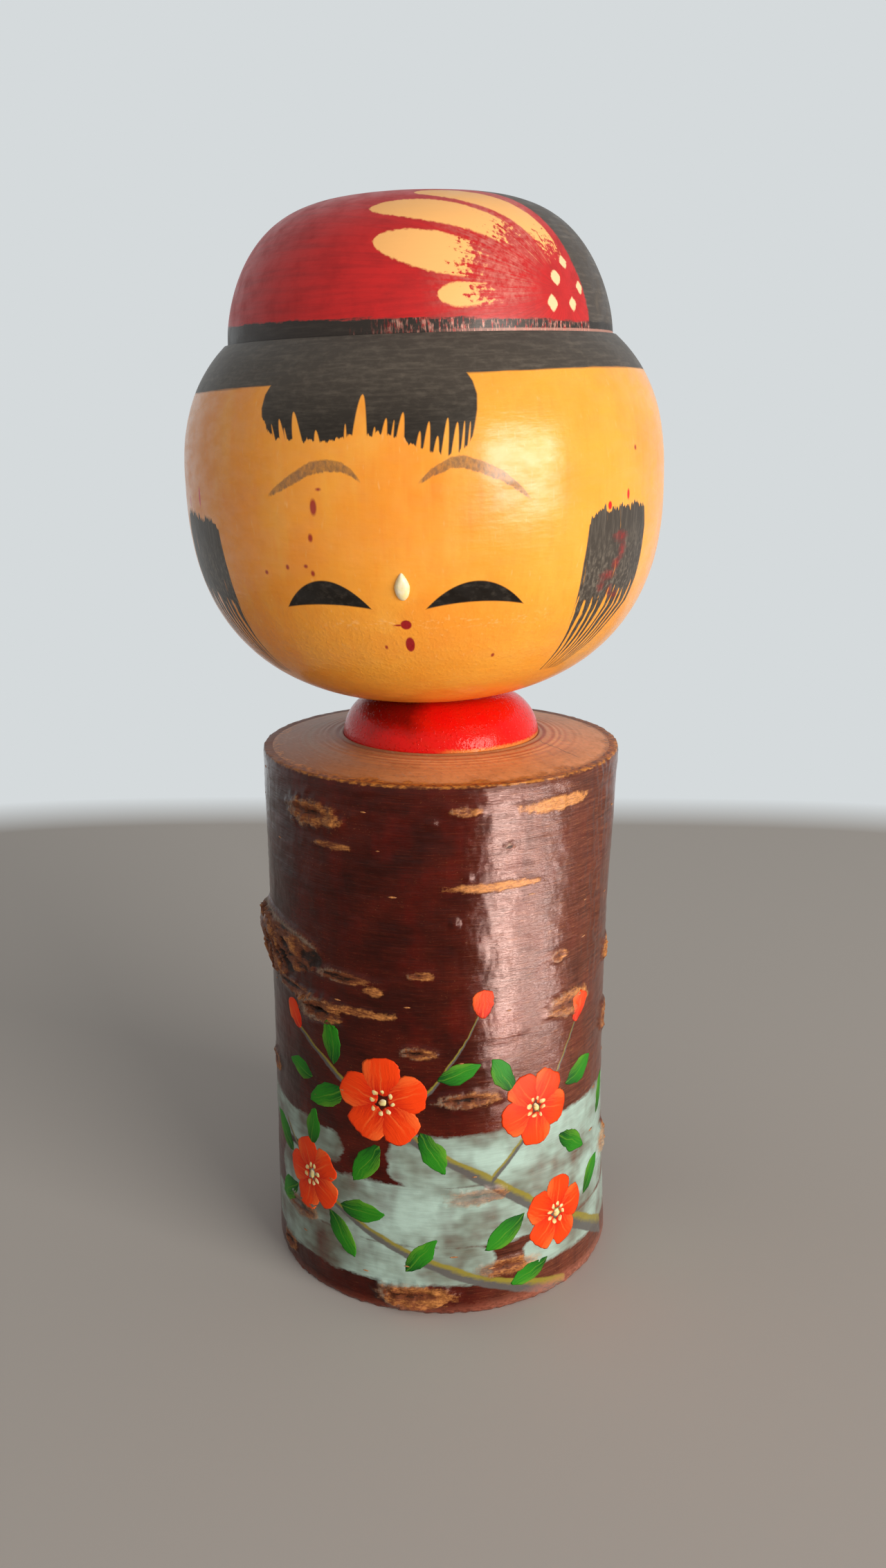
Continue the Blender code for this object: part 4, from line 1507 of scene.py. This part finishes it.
BARK_MARKS = (
    Mark(-41.5, 85.2, 6.4, 2.6, 0.9, 0.3),
    Mark(-34.0, 80.5, 4.2, 0.7, 0.25, 0.5),
    Mark(40.5, 87.0, 7.5, 1.2, 0.25, 0.9),
    Mark(19.5, 75.0, 7.0, 0.65, 0.25, 0.9),
    Mark(8.0, 87.4, 2.2, 0.7, 0.4, 0.5),
    Mark(-1.5, 85.6, 1.2, 0.8, 0.6, -1.0),
    Mark(22.0, 81.3, 1.1, 0.45, 0.3, 0.0),
    Mark(5.0, 69.4, 1.0, 1.0, 0.8, -1.0),
    Mark(9.0, 76.8, 0.8, 0.7, 0.4, -1.0),
    Mark(42.0, 61.0, 2.1, 1.1, 0.6, 0.3),
    Mark(-6.0, 60.5, 2.4, 0.7, 0.3, 0.4),
    Mark(-40.2, 51.8, 4.4, 2.1, 1.1, 0.05),
    Mark(-25.0, 53.1, 5.2, 0.75, 0.25, 0.6),
    Mark(-20.7, 57.1, 2.0, 0.85, 0.3, 0.65),
    Mark(-31.5, 58.6, 5.6, 1.0, 0.45, 0.1),
    Mark(-56.0, 53.6, 6.4, 1.2, 0.45, 0.05),
    Mark(-7.0, 47.2, 3.3, 1.0, 0.6, 0.2),
    Mark(47.0, 52.0, 5.0, 2.1, 0.7, 0.4),
    Mark(9.0, 39.0, 6.4, 1.7, 0.6, 0.2),
    Mark(13.5, 21.5, 5.6, 1.8, 0.6, 0.3),
    Mark(22.5, 8.0, 5.4, 1.5, 0.45, 0.4),
    Mark(-8.5, 3.5, 6.4, 2.3, 1.2, 0.35),
    Mark(-52.0, 13.0, 4.5, 1.7, 0.6, 0.2),
    Mark(-62.0, 3.7, 3.4, 1.9, 0.5, 0.2),
    Mark(-74.0, 36.0, 3.4, 1.5, 0.5, 0.2),
    Mark(80.0, 56.0, 3.8, 2.1, 0.9, 0.7),
    Mark(81.0, 43.0, 3.8, 2.4, 0.8, 0.5),
    Mark(79.0, 20.0, 4.4, 2.6, 0.9, 0.7),
)
# Marks at the back: how many, the turns and heights that they lie between, and the seed of their places
BACK_MARKS = 24
BACK_TURNS = (100, 262)
BACK_HEIGHTS = (4, 87)
BACK_SEED = 7


class Lobe(NamedTuple):
    """A lobe of healed bark: turn and tilt in degrees; height, half-width, half-height and rise in
    millimetres; and the paleness of its cork."""

    turn: float
    z: float
    wide: float
    tall: float
    tilt: float
    rise: float
    pale: float


# The branch stub, and the torn bark beside it with the turn and height of its upper lip and its foot
STUB_LOBES = (
    Lobe(-82.5, 60.0, 4.6, 5.0, 10, 2.6, 0.0),
    Lobe(-73.4, 61.8, 3.2, 3.4, 24, 2.2, 0.1),
    Lobe(-74.0, 56.8, 3.2, 2.0, -12, 1.6, -0.1),
)
TEAR_LIP = ((-86.0, 64.2), (-74.0, 64.8), (-62.4, 64.0), (-50.1, 63.5), (-42.0, 62.4), (-37.5, 60.4))
TEAR_FOOT = ((-86.0, 54.5), (-71.7, 52.9), (-60.0, 54.4), (-48.4, 56.8), (-40.7, 58.7), (-37.5, 60.0))
# How near in height two lobes come where a crack parts them, in millimetres
LOBE_CRACK = 0.4
# Where the tear's folds fan out from, and their pitch across and along, in degrees and millimetres
FAN_TURN, FAN_TOP = -86.0, 67.0
FOLD_SPREAD, FOLD_LENGTH = 5.2, 7.0
# Turn and spread in degrees of the upright wrinkles, and the height in millimetres where they start
WRINKLE_TURN, WRINKLE_SPREAD, WRINKLE_FOOT = 60, 7, 50
# How far in from the bark's cut ends its edge is worn
EDGE_WEAR = 1.1 * MM


def pressed(lobes, turn, height):
    """Rise in millimetres of lobes that press together, the cracks between them and their paleness."""
    rises = []
    for lobe in lobes:
        across = apart(turn, radians(lobe.turn)) * LOG_RADIUS / MM
        up = height / MM - lobe.z
        lean, stand = sin(radians(lobe.tilt)), cos(radians(lobe.tilt))
        sideways = (across * stand + up * lean) / lobe.wide
        upwards = (up * stand - across * lean) / lobe.tall
        rises.append(lobe.rise * np.sqrt(np.clip(1 - (sideways**2 + upwards**2), 0, 1)))
    rises = np.stack(rises)
    highest, next_highest = np.sort(rises, axis=0)[[-1, -2]]
    crack = np.exp(-(((highest - next_highest) / LOBE_CRACK) ** 2)) * np.clip(next_highest / 0.3, 0, 1)
    pale = np.array([lobe.pale for lobe in lobes])[rises.argmax(axis=0)]
    return highest, crack, pale


def back_marks():
    """Marks like those in front, scattered over the back of the log."""
    draw = np.random.default_rng(BACK_SEED)
    lowest, highest = BACK_HEIGHTS
    marks = []
    for index in range(BACK_MARKS):
        wide = draw.uniform(1.8, 7.0)
        tall = 0.5 + wide * draw.uniform(0.08, 0.3)
        height = lowest + (highest - lowest) * (index + draw.uniform(0, 1)) / BACK_MARKS
        pale = draw.uniform(0, 1)
        turn = draw.uniform(*BACK_TURNS)
        marks.append(Mark(turn, height, wide, tall, 0.2 + tall * 0.3 * (1 - pale), pale))
    return marks


def rough_at(places, pitch, octaves):
    """Fractal noise of about -1 to 1 at each place, with features about this big."""
    return np.array([noise.fractal(place / pitch, 1.0, 2.0, octaves) for place in places])


def apart(turn, middle):
    """Signed angle from a middle, the short way round."""
    return (turn - middle + pi) % (2 * pi) - pi


class BarkFace(NamedTuple):
    """The bark's outer face over rows of height and columns of turn: radius, share of cork, its paleness
    and its grey lips."""

    radius: np.ndarray
    cork: np.ndarray
    pale: np.ndarray
    lip: np.ndarray


def bark_face(turn, height, sizes):
    """Shape of the bark: its waist, slow swells, cork marks, the tear by the stub, and wrinkles."""
    around = turn[None, :] + 0 * height[:, None]
    up = height[:, None] + 0 * turn[None, :]
    even = np.stack([np.sin(around) * LOG_RADIUS, -np.cos(around) * LOG_RADIUS, up], axis=-1)
    places = [Vector(place) / MM for place in even.reshape(-1, 3).tolist()]

    def unevenness(pitch, octaves, squeeze_round=1.0, squeeze_up=1.0):
        """Noise over the face with features this big, squeezed by this much round the log and up it."""
        squeezed = [Vector((p.x * squeeze_round, p.y * squeeze_round, p.z * squeeze_up)) for p in places]
        return rough_at(squeezed, pitch, octaves).reshape(around.shape)

    slow = unevenness(11.0, 3, squeeze_up=1.6)
    ripple = unevenness(5.0, 2, squeeze_up=7.0)
    crumb = unevenness(1.3, 3, squeeze_up=1.4)
    lump = unevenness(3.4, 2)
    furrow = unevenness(2.2, 2, squeeze_round=2.5, squeeze_up=0.6)

    # The log is slimmer at mid-height, more so on its right
    waist = CORE_WAIST + 0.55 * MM * np.sin(around)
    radius = LOG_RADIUS - waist * np.sin(pi * up / LOG_HEIGHT)
    radius += sizes.bark_swell * slow * 0.6 + 0.05 * MM * ripple
    cork = np.zeros_like(radius)
    pale = np.zeros_like(radius)
    grey = np.zeros_like(radius)
    ragged = np.clip(1 + 0.35 * slow + 0.25 * crumb, 0.5, 1.6)
    for mark in (*BARK_MARKS, *back_marks()):
        across = apart(around, radians(mark.turn)) * LOG_RADIUS / MM
        rise = up / MM - mark.z
        reach = np.sqrt((across / mark.wide) ** 2 + (rise / mark.tall) ** 2)
        if mark.pale < 0:
            radius += mark.rise * MM * np.clip(1 - reach**2, 0, 1) ** 1.5
            continue
        # A ragged lens: crumbly inside, with raised lips and a crack along its middle
        reach /= ragged * 1.15
        body = np.clip(1 - reach, 0, 1)
        lip = np.exp(-(((reach - 0.8) / 0.22) ** 2))
        crack = np.exp(-(((rise + 0.3 * lump) / (0.2 + mark.tall * 0.12)) ** 2)) * body
        crumbly = np.clip(body * 2, 0, 1) * (0.45 + 0.6 * crumb)
        radius += mark.rise * MM * (crumbly + (1 - mark.pale) * (0.5 * lip - 1.1 * crack))
        stronger = 1.8 * body > cork
        # Paler towards each mark's right end: golden cork laid brighter there as a painted highlight
        golden = 0.1 * lip + 0.6 * np.clip(across / mark.wide, 0, 1)
        weathered = lip * (1 - mark.pale) * np.clip(0.7 - 0.8 * across / mark.wide, 0, 1)
        grey[stronger] = weathered[stronger]
        pale[stronger] = (mark.pale + (golden + 0.15 - 1.3 * crack) * (1 - mark.pale))[stronger]
        cork = np.maximum(cork, np.clip(1.8 * body, 0, 1))

    # Folds and deep cracks of the tear, which fan out under a raised lip
    degrees = np.degrees(around)
    below_lip = np.interp(degrees, *zip(*TEAR_LIP)) - up / MM
    above_foot = up / MM - np.interp(degrees, *zip(*TEAR_FOOT))
    ends = np.minimum(degrees - TEAR_LIP[0][0], TEAR_LIP[-1][0] - degrees)
    torn = np.clip(np.minimum.reduce([below_lip, above_foot, ends / 3]) + 0.4 * crumb, 0, 1)
    fan_across = apart(around, radians(FAN_TURN)) * LOG_RADIUS / MM
    fan_down = FAN_TOP - up / MM
    fan_far = np.hypot(fan_across, fan_down)
    bearing = np.degrees(np.arctan2(fan_down, fan_across)) + 2.5 * lump
    spread = zip((bearing / FOLD_SPREAD).ravel(), (fan_far / FOLD_LENGTH).ravel())
    fold = rough_at([Vector((*place, 4.0)) for place in spread], 1.0, 3).reshape(around.shape)
    crack = np.clip(-3.2 * fold - 0.3, 0, 1) * np.clip(2.0 - fan_far / 13.0, 0.25, 1)
    bulk = np.clip(1.9 - fan_far / 13.0, 0.35, 1.5)
    ridge = np.exp(-((below_lip / 0.6) ** 2)) * np.clip(ends / 5, 0, 1)
    rise = bulk * (0.7 + 0.9 * fold) - 0.7 * crack + 0.12 * furrow + 0.06 * crumb
    radius += MM * (torn * rise + 0.55 * ridge)
    inside = torn > 0.3
    cork[inside] = np.maximum(cork, 0.9 * torn)[inside]
    # Painted light and shade over the torn bark: paler on the ridges of the folds, black in their deepest
    # valleys
    pale[inside] = (fan_far / 70.0 - 0.1 + 0.9 * fold + 0.4 * furrow - 1.3 * crack)[inside]
    cork = np.maximum(cork, 0.7 * ridge)
    grey = np.maximum(grey * (1 - torn), 0.8 * ridge)

    # Upright wrinkles on the right
    off_middle = apart(around, radians(WRINKLE_TURN)) / radians(WRINKLE_SPREAD)
    wrinkle = np.exp(-(off_middle**2)) * np.clip((up / MM - WRINKLE_FOOT) / 12, 0, 1)
    radius += 0.3 * MM * wrinkle * furrow

    # Rounded and worn edges at the top and the foot
    for distance, wear in ((LOG_HEIGHT - up, 0.3), (up, 0.45)):
        near = np.clip(1 - distance / EDGE_WEAR, 0, 1)
        radius -= wear * MM * near**2 * np.clip(1 + 0.8 * slow + 0.7 * crumb, 0, 2)
    return BarkFace(radius, cork, pale, grey)


class DOLL_OT_bark(Operator):
    """Grow the bark with its cork marks, and paint it"""

    bl_idname = "doll.bark"
    bl_label = "Bark"

    def execute(self, context):
        sizes = context.scene.doll_sizes
        turn = np.linspace(-pi, pi, sizes.bark_columns, endpoint=False)
        height = np.linspace(0, LOG_HEIGHT, sizes.bark_rows)
        face = bark_face(turn, height, sizes)
        inner_height = np.linspace(LOG_HEIGHT, 0, 8)
        inner = LOG_RADIUS - sizes.bark_wall - CORE_WAIST * np.sin(pi * inner_height / LOG_HEIGHT)
        inner = np.repeat(inner[:, None], len(turn), axis=1)
        cut = (face.radius[-1:] + inner[:1]) / 2
        radius = np.concatenate([face.radius, cut, inner, (face.radius[:1] + inner[-1:]) / 2])
        levels = np.concatenate([height, [LOG_HEIGHT], inner_height, [0]])[:, None] + 0 * turn[None, :]
        places = np.stack([radius * np.sin(turn), -radius * np.cos(turn), levels], axis=-1)
        mesh = sheet_mesh("bark", places, wrap_rows=True)
        hidden = [(0, len(radius) - sizes.bark_rows), (0, 0)]
        outside = radius > LOG_RADIUS - sizes.bark_wall
        room = (levels > 3 * MM) & (levels < LOG_HEIGHT - 2 * MM) & outside
        layers = {
            "cork": np.pad(face.cork, hidden),
            "pale": np.pad(face.pale, hidden),
            "lip": np.pad(face.lip, hidden),
            "fleck_room": room.astype(float),
        }
        store_layers(mesh, layers)
        tidy_normals(mesh, radians(70))
        add_piece(mesh, bark_finish(), "torso", "bark", "bark_sleeve")
        return {"FINISHED"}


# How deep the branch stub's root and its face's rim lie in the bark
STUB_ROOT = 2.2 * MM
STUB_RIM = 1.1 * MM
# Height in millimetres where the grey upper lip of the stub starts
STUB_LIP = 63.0


class DOLL_OT_knot(Operator):
    """Model the healed stub of a side branch"""

    bl_idname = "doll.knot"
    bl_label = "Branch stub"

    def execute(self, context):
        low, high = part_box("branch_knot")
        middle = (low + high) / 2
        turn = atan2(middle.x, -middle.y)
        half = (high.z - low.z) / 2
        angle = np.linspace(0, 2 * pi, 120, endpoint=False)[None, :]
        share = np.linspace(0, 1, 44)[:, None]
        places = [Vector((cos(a) * s, sin(a) * s, 0.0)) for s in share.ravel() for a in angle.ravel()]
        lump = rough_at(places, 0.6, 2).reshape(share.size, angle.size)
        crumb = rough_at([place + Vector((3, 0, 0)) for place in places], 0.14, 3).reshape(lump.shape)
        folds = [Vector((p.x * 2.2 + p.y * 0.7, p.y * 1.2 - p.x * 0.4, 7.0)) for p in places]
        fold = rough_at(folds, 0.75, 4).reshape(lump.shape)
        reach = 1 + 0.1 * rough_at([Vector((cos(a), sin(a), 5)) for a in angle.ravel()], 0.6, 2)[None, :]
        tilt = turn + share * np.cos(angle) * half * 1.15 * reach / LOG_RADIUS
        level = middle.z + share * np.sin(angle) * half * reach
        highest, crack, shade = pressed(STUB_LOBES, tilt + 0.03 * lump, level + 0.8 * MM * lump)
        proud = (1 - share**6) * (highest - 0.8 * crack + 0.2 * lump + 0.45 * fold + 0.06 * crumb)
        out = LOG_RADIUS + MM * proud - STUB_RIM
        foot = np.full_like(out, LOG_RADIUS - STUB_ROOT)
        radius = np.concatenate([out, foot])
        tilt = np.concatenate([tilt, tilt[::-1]])
        solid = [radius * np.sin(tilt), -radius * np.cos(tilt), np.concatenate([level, level[::-1]])]
        mesh = sheet_mesh("knot", np.stack(solid, axis=-1), wrap_rows=False)
        layers = {
            # Painted light and shade: paler on the folds' ridges, black between the lobes and darker in low
            # places
            "pale": shade + 0.2 * lump + 0.9 * fold - 1.6 * crack - 0.6 * np.clip(1 - proud / 0.8, 0, 1),
            "lip": np.clip((level / MM - STUB_LIP) / 1.5, 0, 1) * 0.6,
        }
        store_layers(mesh, {name: np.concatenate([face, 0 * face]) for name, face in layers.items()})
        tidy_normals(mesh, radians(80), join_poles=True)
        add_piece(mesh, knot_finish(), "torso", "branch_wood", "branch_knot")
        return {"FINISHED"}


# Flecks on a square metre of bark, and the seed of their places
FLECK_DENSITY = 3500.0
FLECK_SEED = 5


class DOLL_OT_flecks(Operator):
    """Scatter small cork flecks over the bark"""

    bl_idname = "doll.flecks"
    bl_label = "Cork flecks"

    def execute(self, context):
        p = paints()
        finish = plain_finish("cork_fleck", p.cork_deep, p.cork, (0.6, 0.6, 0.3), 0.45, 0.06)
        inputs = {
            "Density": FLECK_DENSITY,
            "Length": context.scene.doll_sizes.fleck_length,
            "Seed": FLECK_SEED,
            "Finish": finish.material,
        }
        mesh = grown("bark_flecks", flecks_tree(), bpy.data.objects["bark"].data.copy(), inputs)
        mesh.shade_smooth()
        add_piece(mesh, finish, "torso", "bark")
        return {"FINISHED"}


class Flower(NamedTuple):
    """A painted flower: its middle, its share of a full flower's reach and its first petal's turn."""

    u: float
    z: float
    share: float
    turn: float


class Leaf(NamedTuple):
    """A painted leaf: its middle, its aim in degrees, its length and its width."""

    u: float
    z: float
    aim: float
    long: float
    wide: float


FLOWERS = (
    Flower(-9.5, 38.0, 1.2, 20),
    Flower(17.5, 35.5, 1.05, 55),
    Flower(22.0, 14.5, 1.0, 8),
    Flower(-24.5, 20.5, 1.0, 40),
)
FLOWER_PETALS = 5
FLOWER_STAMENS = 8
# Shares of a flower's reach: how far out its petals lie, their length and width, and where its stamens lie
PETAL_SHARES = (0.56, 0.88, 0.86)
STAMEN_SHARE = 0.24
BUDS = (Leaf(-28.5, 48.8, 125, 5.2, 3.8), Leaf(27.8, 50.5, 70, 5.6, 4.2), Leaf(7.5, 55.5, 80, 4.8, 3.6))
LEAVES = (
    Leaf(-20.5, 36.6, 205, 9.0, 4.2),
    Leaf(-19.0, 46.8, 95, 8.0, 3.8),
    Leaf(-1.0, 29.6, -60, 8.5, 4.0),
    Leaf(-12.5, 26.6, 235, 9.0, 4.2),
    Leaf(3.4, 43.6, 20, 7.5, 3.4),
    Leaf(28.5, 38.5, 15, 8.5, 4.0),
    Leaf(11.0, 42.5, 120, 7.5, 3.6),
    Leaf(26.5, 26.0, -35, 8.5, 4.0),
    Leaf(11.5, 14.0, 215, 9.0, 4.2),
    Leaf(33.0, 17.0, 35, 8.0, 3.8),
    Leaf(16.0, 5.5, 200, 8.0, 3.6),
    Leaf(-27.0, 39.5, 170, 7.0, 3.2),
    Leaf(-34.5, 24.5, 150, 9.0, 4.2),
    Leaf(-32.5, 14.0, 215, 9.0, 4.2),
    Leaf(-17.5, 12.0, -55, 9.0, 4.2),
    Leaf(-24.0, 29.5, 80, 7.5, 3.6),
    Leaf(-13.5, 17.5, 0, 8.5, 4.0),
    Leaf(-3.0, 10.8, 50, 8.0, 3.6),
    Leaf(38.5, 30.0, 60, 8.0, 3.8),
)


def layout_mesh(name, dabs, rise):
    """Points of a flat layout in metres, each with the aim and size of its dab."""
    mesh = bpy.data.meshes.new(name)
    mesh.from_pydata([(dab.u * MM, dab.z * MM, 0) for dab in dabs], [], [])
    aim = mesh.attributes.new("aim", "FLOAT", "POINT")
    aim.data.foreach_set("value", [radians(dab.aim) for dab in dabs])
    size = mesh.attributes.new("size", "FLOAT_VECTOR", "POINT")
    sizes = [value for dab in dabs for value in (dab.long * MM, dab.wide * MM, 2 * rise)]
    size.data.foreach_set("vector", sizes)
    return mesh


def dab_ring(flower, first, number, far, long, wide):
    """Dabs of one length and width round a flower's middle, the first at this turn."""
    aims = [first + 360 * index / number for index in range(number)]
    return [
        Leaf(flower.u + far * cos(radians(aim)), flower.z + far * sin(radians(aim)), aim, long, wide)
        for aim in aims
    ]


def flower_dabs(reach):
    """Petals round the heart of each flower."""
    dabs = []
    for flower in FLOWERS:
        far, long, wide = (share * reach * flower.share for share in PETAL_SHARES)
        dabs += dab_ring(flower, flower.turn, FLOWER_PETALS, far, long, wide)
    return dabs


def stamen_dabs(reach):
    """A ring of dots and a middle one in each flower."""
    dabs = []
    for flower in FLOWERS:
        dabs.append(Leaf(flower.u, flower.z, 0, 1.3, 1.3))
        far = STAMEN_SHARE * reach * flower.share
        dabs += dab_ring(flower, flower.turn + 22, FLOWER_STAMENS, far, 1.0, 0.8)
    return dabs


class DOLL_OT_painting(Operator):
    """Paint a spray of flowers on the bark"""

    bl_idname = "doll.painting"
    bl_label = "Painted spray"

    def execute(self, context):
        p = paints()
        sizes = context.scene.doll_sizes
        reach = sizes.flower_radius / MM
        petals = flower_dabs(reach) + list(BUDS)
        red = dab_finish("vermilion_paint", p.flower_deep, p.flower, p.flower_light)
        green = dab_finish("leaf_green_paint", p.leaf_deep, p.leaf, p.leaf_light)
        cream = dab_finish("stamen_cream_paint", p.rim, p.stamen, p.nose)
        groups = (
            ("painted_leaves", LEAVES, green, 0.4, 0.0, 0.7),
            ("painted_petals", petals, red, 0.0, 0.55, 1.0),
            ("painted_stamens", stamen_dabs(reach), cream, 0.0, 0.0, 1.8),
        )
        for name, dabs, finish, point, flare, thick in groups:
            inputs = {
                "Log": bpy.data.objects["bark"],
                "Log radius": LOG_RADIUS,
                "Point": point,
                "Flare": flare,
                "Finish": finish.material,
            }
            layout = layout_mesh(name + "_layout", dabs, sizes.paint_rise * thick)
            add_piece(grown(name, dabs_tree(), layout, inputs), finish, "torso", "bark")
        return {"FINISHED"}


class DOLL_OT_dowel(Operator):
    """Give the dowel its bare wood"""

    bl_idname = "doll.dowel"
    bl_label = "Dowel"

    def execute(self, context):
        p = paints()
        finish = plain_finish("bare_dowel_wood", p.dowel, p.rim, (0.6, 0.6, 9.0), 0.55, 0.08)
        dowel = frame["nodes"]["neck_dowel"]
        dowel.data.materials.clear()
        dowel.data.materials.append(finish.material)
        return {"FINISHED"}


class Lamp(NamedTuple):
    """A flat lamp: its place, what it faces, its width and height, all in metres, and its tint."""

    place: Vector
    target: Vector
    width: float
    height: float
    tint: tuple


def add_lamp(name, lamp, power):
    light = bpy.data.lights.new(name, "AREA")
    light.shape = "RECTANGLE"
    light.size = lamp.width
    light.size_y = lamp.height
    light.energy = power
    light.color = lamp.tint
    obj = bpy.data.objects.new(name, light)
    bpy.context.scene.collection.objects.link(obj)
    obj.location = lamp.place
    obj.rotation_euler = (lamp.target - lamp.place).to_track_quat("-Z", "Y").to_euler()
    return obj


def seen_rays(n):
    """1 for rays that show the backdrop, straight or in a shiny or clear surface."""
    rays = n.node("ShaderNodeLightPath").outputs
    kinds = ("Is Camera Ray", "Is Glossy Ray", "Is Transmission Ray")
    return union([Value(n, rays[kind]) for kind in kinds])


# Radius of the floor, in metres
FLOOR_RADIUS = 2.5
# The window on the right, and two weak lamps that no varnish mirrors
DOLL_MIDDLE = Vector((0, 0, 0.1))
WINDOW = Lamp(Vector((1.0, -0.98, 0.3)), DOLL_MIDDLE, 0.9, 0.58, (1.0, 0.97, 0.93))
LEFT_FILL = Lamp(Vector((-1.2, 0.1, 0.6)), DOLL_MIDDLE, 0.9, 0.9, (0.9, 0.95, 1.0))
LOW_FILL = Lamp(Vector((0.35, -0.65, 0.03)), DOLL_MIDDLE, 0.6, 0.2, (1.0, 0.96, 0.92))
# Pieces whose varnish shows the low cards
VARNISHED = ("bark", "knot", "bark_flecks", "painted_leaves", "painted_petals", "painted_stamens")
# Shares of the low cards' power, from the front card to the back one
SHEEN_SHARES = (3.0, 3.0, 1.3, 1.2, 1.1, 1.0)
# Ends of their row and their height, in metres, and the spread of their light in degrees
SHEEN_START = Vector((0.067, -0.109, 0.035))
SHEEN_END = Vector((0.119, -0.029, 0.035))
SHEEN_HEIGHT = 0.066
SHEEN_SPREAD = 24
# The varnish that mirrors them: turns in degrees of its first and last strip, and its height in metres
MIRROR_TURNS = (32, 56)
MIRROR_LEVEL = 0.078


class DOLL_OT_stage(Operator):
    """Set the floor, the lamps and the camera"""

    bl_idname = "doll.stage"
    bl_label = "Stage"

    def execute(self, context):
        stage = context.scene.doll_stage
        self.add_floor(stage)
        self.add_sky(context, stage)
        add_lamp("window", WINDOW, stage.window_power)
        fills = (("left_fill", LEFT_FILL, stage.fill_power), ("low_fill", LOW_FILL, stage.low_power))
        for name, lamp, power in fills:
            add_lamp(name, lamp, power).visible_glossy = False
        self.add_sheen(stage)
        self.add_camera(context, stage)
        context.scene.view_settings.view_transform = "Standard"
        return {"FINISHED"}

    def add_sheen(self, stage):
        """A row of narrow low cards beside the log, each aimed at the varnish that mirrors it."""
        takers = bpy.data.collections.new("varnished")
        for name in VARNISHED:
            takers.objects.link(bpy.data.objects[name])
        first, last = MIRROR_TURNS
        width = (SHEEN_END - SHEEN_START).length / len(SHEEN_SHARES)
        for index, share in enumerate(SHEEN_SHARES):
            along = (index + 0.5) / len(SHEEN_SHARES)
            turn = radians(first + (last - first) * along)
            strip = Vector((sin(turn) * LOG_RADIUS, -cos(turn) * LOG_RADIUS, MIRROR_LEVEL))
            lamp = Lamp(SHEEN_START.lerp(SHEEN_END, along), strip, width, SHEEN_HEIGHT, (1, 1, 1))
            card = add_lamp(f"sheen_{index}", lamp, stage.sheen_power * share / sum(SHEEN_SHARES))
            card.data.spread = radians(SHEEN_SPREAD)
            card.visible_camera = False
            card.visible_diffuse = False
            card.light_linking.receiver_collection = takers

    def add_floor(self, stage):
        mesh = bpy.data.meshes.new("floor")
        bm = bmesh.new()
        bmesh.ops.create_circle(bm, cap_ends=True, radius=FLOOR_RADIUS, segments=96)
        bm.to_mesh(mesh)
        bm.free()
        floor = bpy.data.objects.new("floor", mesh)
        bpy.context.scene.collection.objects.link(floor)
        dull = {"Base Color": tuple(stage.floor), "Roughness": 0.8, "Specular IOR Level": 0.2}
        f = Finish("pale_floor", dull)
        x, y, _ = f.split(f.place())
        wide, deep = x * x, y * y
        far = f.ramp((wide * wide + deep * deep) ** 0.25, stage.floor_near / MM, stage.floor_far / MM)
        glow = f.node("ShaderNodeEmission", None, {"Color": stage.backdrop, "Strength": 1.0})
        sockets = {0: far * seen_rays(f), 1: f.shader.outputs[0], 2: glow.outputs[0]}
        either = f.node("ShaderNodeMixShader", None, sockets)
        f.feed(f.tree.nodes["Material Output"].inputs["Surface"], either.outputs[0])
        mesh.materials.append(f.material)

    def add_sky(self, context, stage):
        world = bpy.data.worlds.new("surroundings")
        world.use_nodes = True
        context.scene.world = world
        n = Nodes(world.node_tree)
        light = n.tree.nodes["Background"]
        n.feed(light.inputs["Color"], stage.sky)
        n.feed(light.inputs["Strength"], stage.sky_strength)
        seen = n.node("ShaderNodeBackground", None, {"Color": stage.backdrop, "Strength": 1.0})
        sockets = {0: seen_rays(n), 1: light.outputs[0], 2: seen.outputs[0]}
        either = n.node("ShaderNodeMixShader", None, sockets)
        n.feed(n.tree.nodes["World Output"].inputs["Surface"], either.outputs[0])

    def add_camera(self, context, stage):
        camera = bpy.data.objects.new("camera", bpy.data.cameras.new("camera"))
        context.scene.collection.objects.link(camera)
        camera.location = stage.camera_place
        camera.rotation_euler = stage.camera_turn
        camera.data.lens = stage.camera_lens
        camera.data.clip_start = 0.01
        context.scene.camera = camera


class DOLL_PT_looks(Panel):
    """The doll's pieces in the order that they are made"""

    bl_idname = "DOLL_PT_looks"
    bl_label = "Kokeshi doll"
    bl_space_type = "VIEW_3D"
    bl_region_type = "UI"
    bl_category = "Doll"

    def draw(self, context):
        for operator in PIECES:
            self.layout.operator(operator.bl_idname)


PIECES = (
    DOLL_OT_head,
    DOLL_OT_cap,
    DOLL_OT_nose,
    DOLL_OT_collar,
    DOLL_OT_log,
    DOLL_OT_bark,
    DOLL_OT_knot,
    DOLL_OT_flecks,
    DOLL_OT_painting,
    DOLL_OT_dowel,
    DOLL_OT_stage,
)
GROUPS = {"doll_paints": DollPaints, "doll_sizes": DollSizes, "doll_stage": DollStage}
CLASSES = (*GROUPS.values(), *PIECES, DOLL_PT_looks)


def register():
    for cls in CLASSES:
        bpy.utils.register_class(cls)
    for name, group in GROUPS.items():
        setattr(bpy.types.Scene, name, PointerProperty(type=group))


def unregister():
    for name in GROUPS:
        delattr(bpy.types.Scene, name)
    for cls in reversed(CLASSES):
        bpy.utils.unregister_class(cls)


def main():
    register()
    for operator in PIECES:
        group, name = operator.bl_idname.split(".")
        getattr(getattr(bpy.ops, group), name)()


if __name__ == "__main__":
    main()
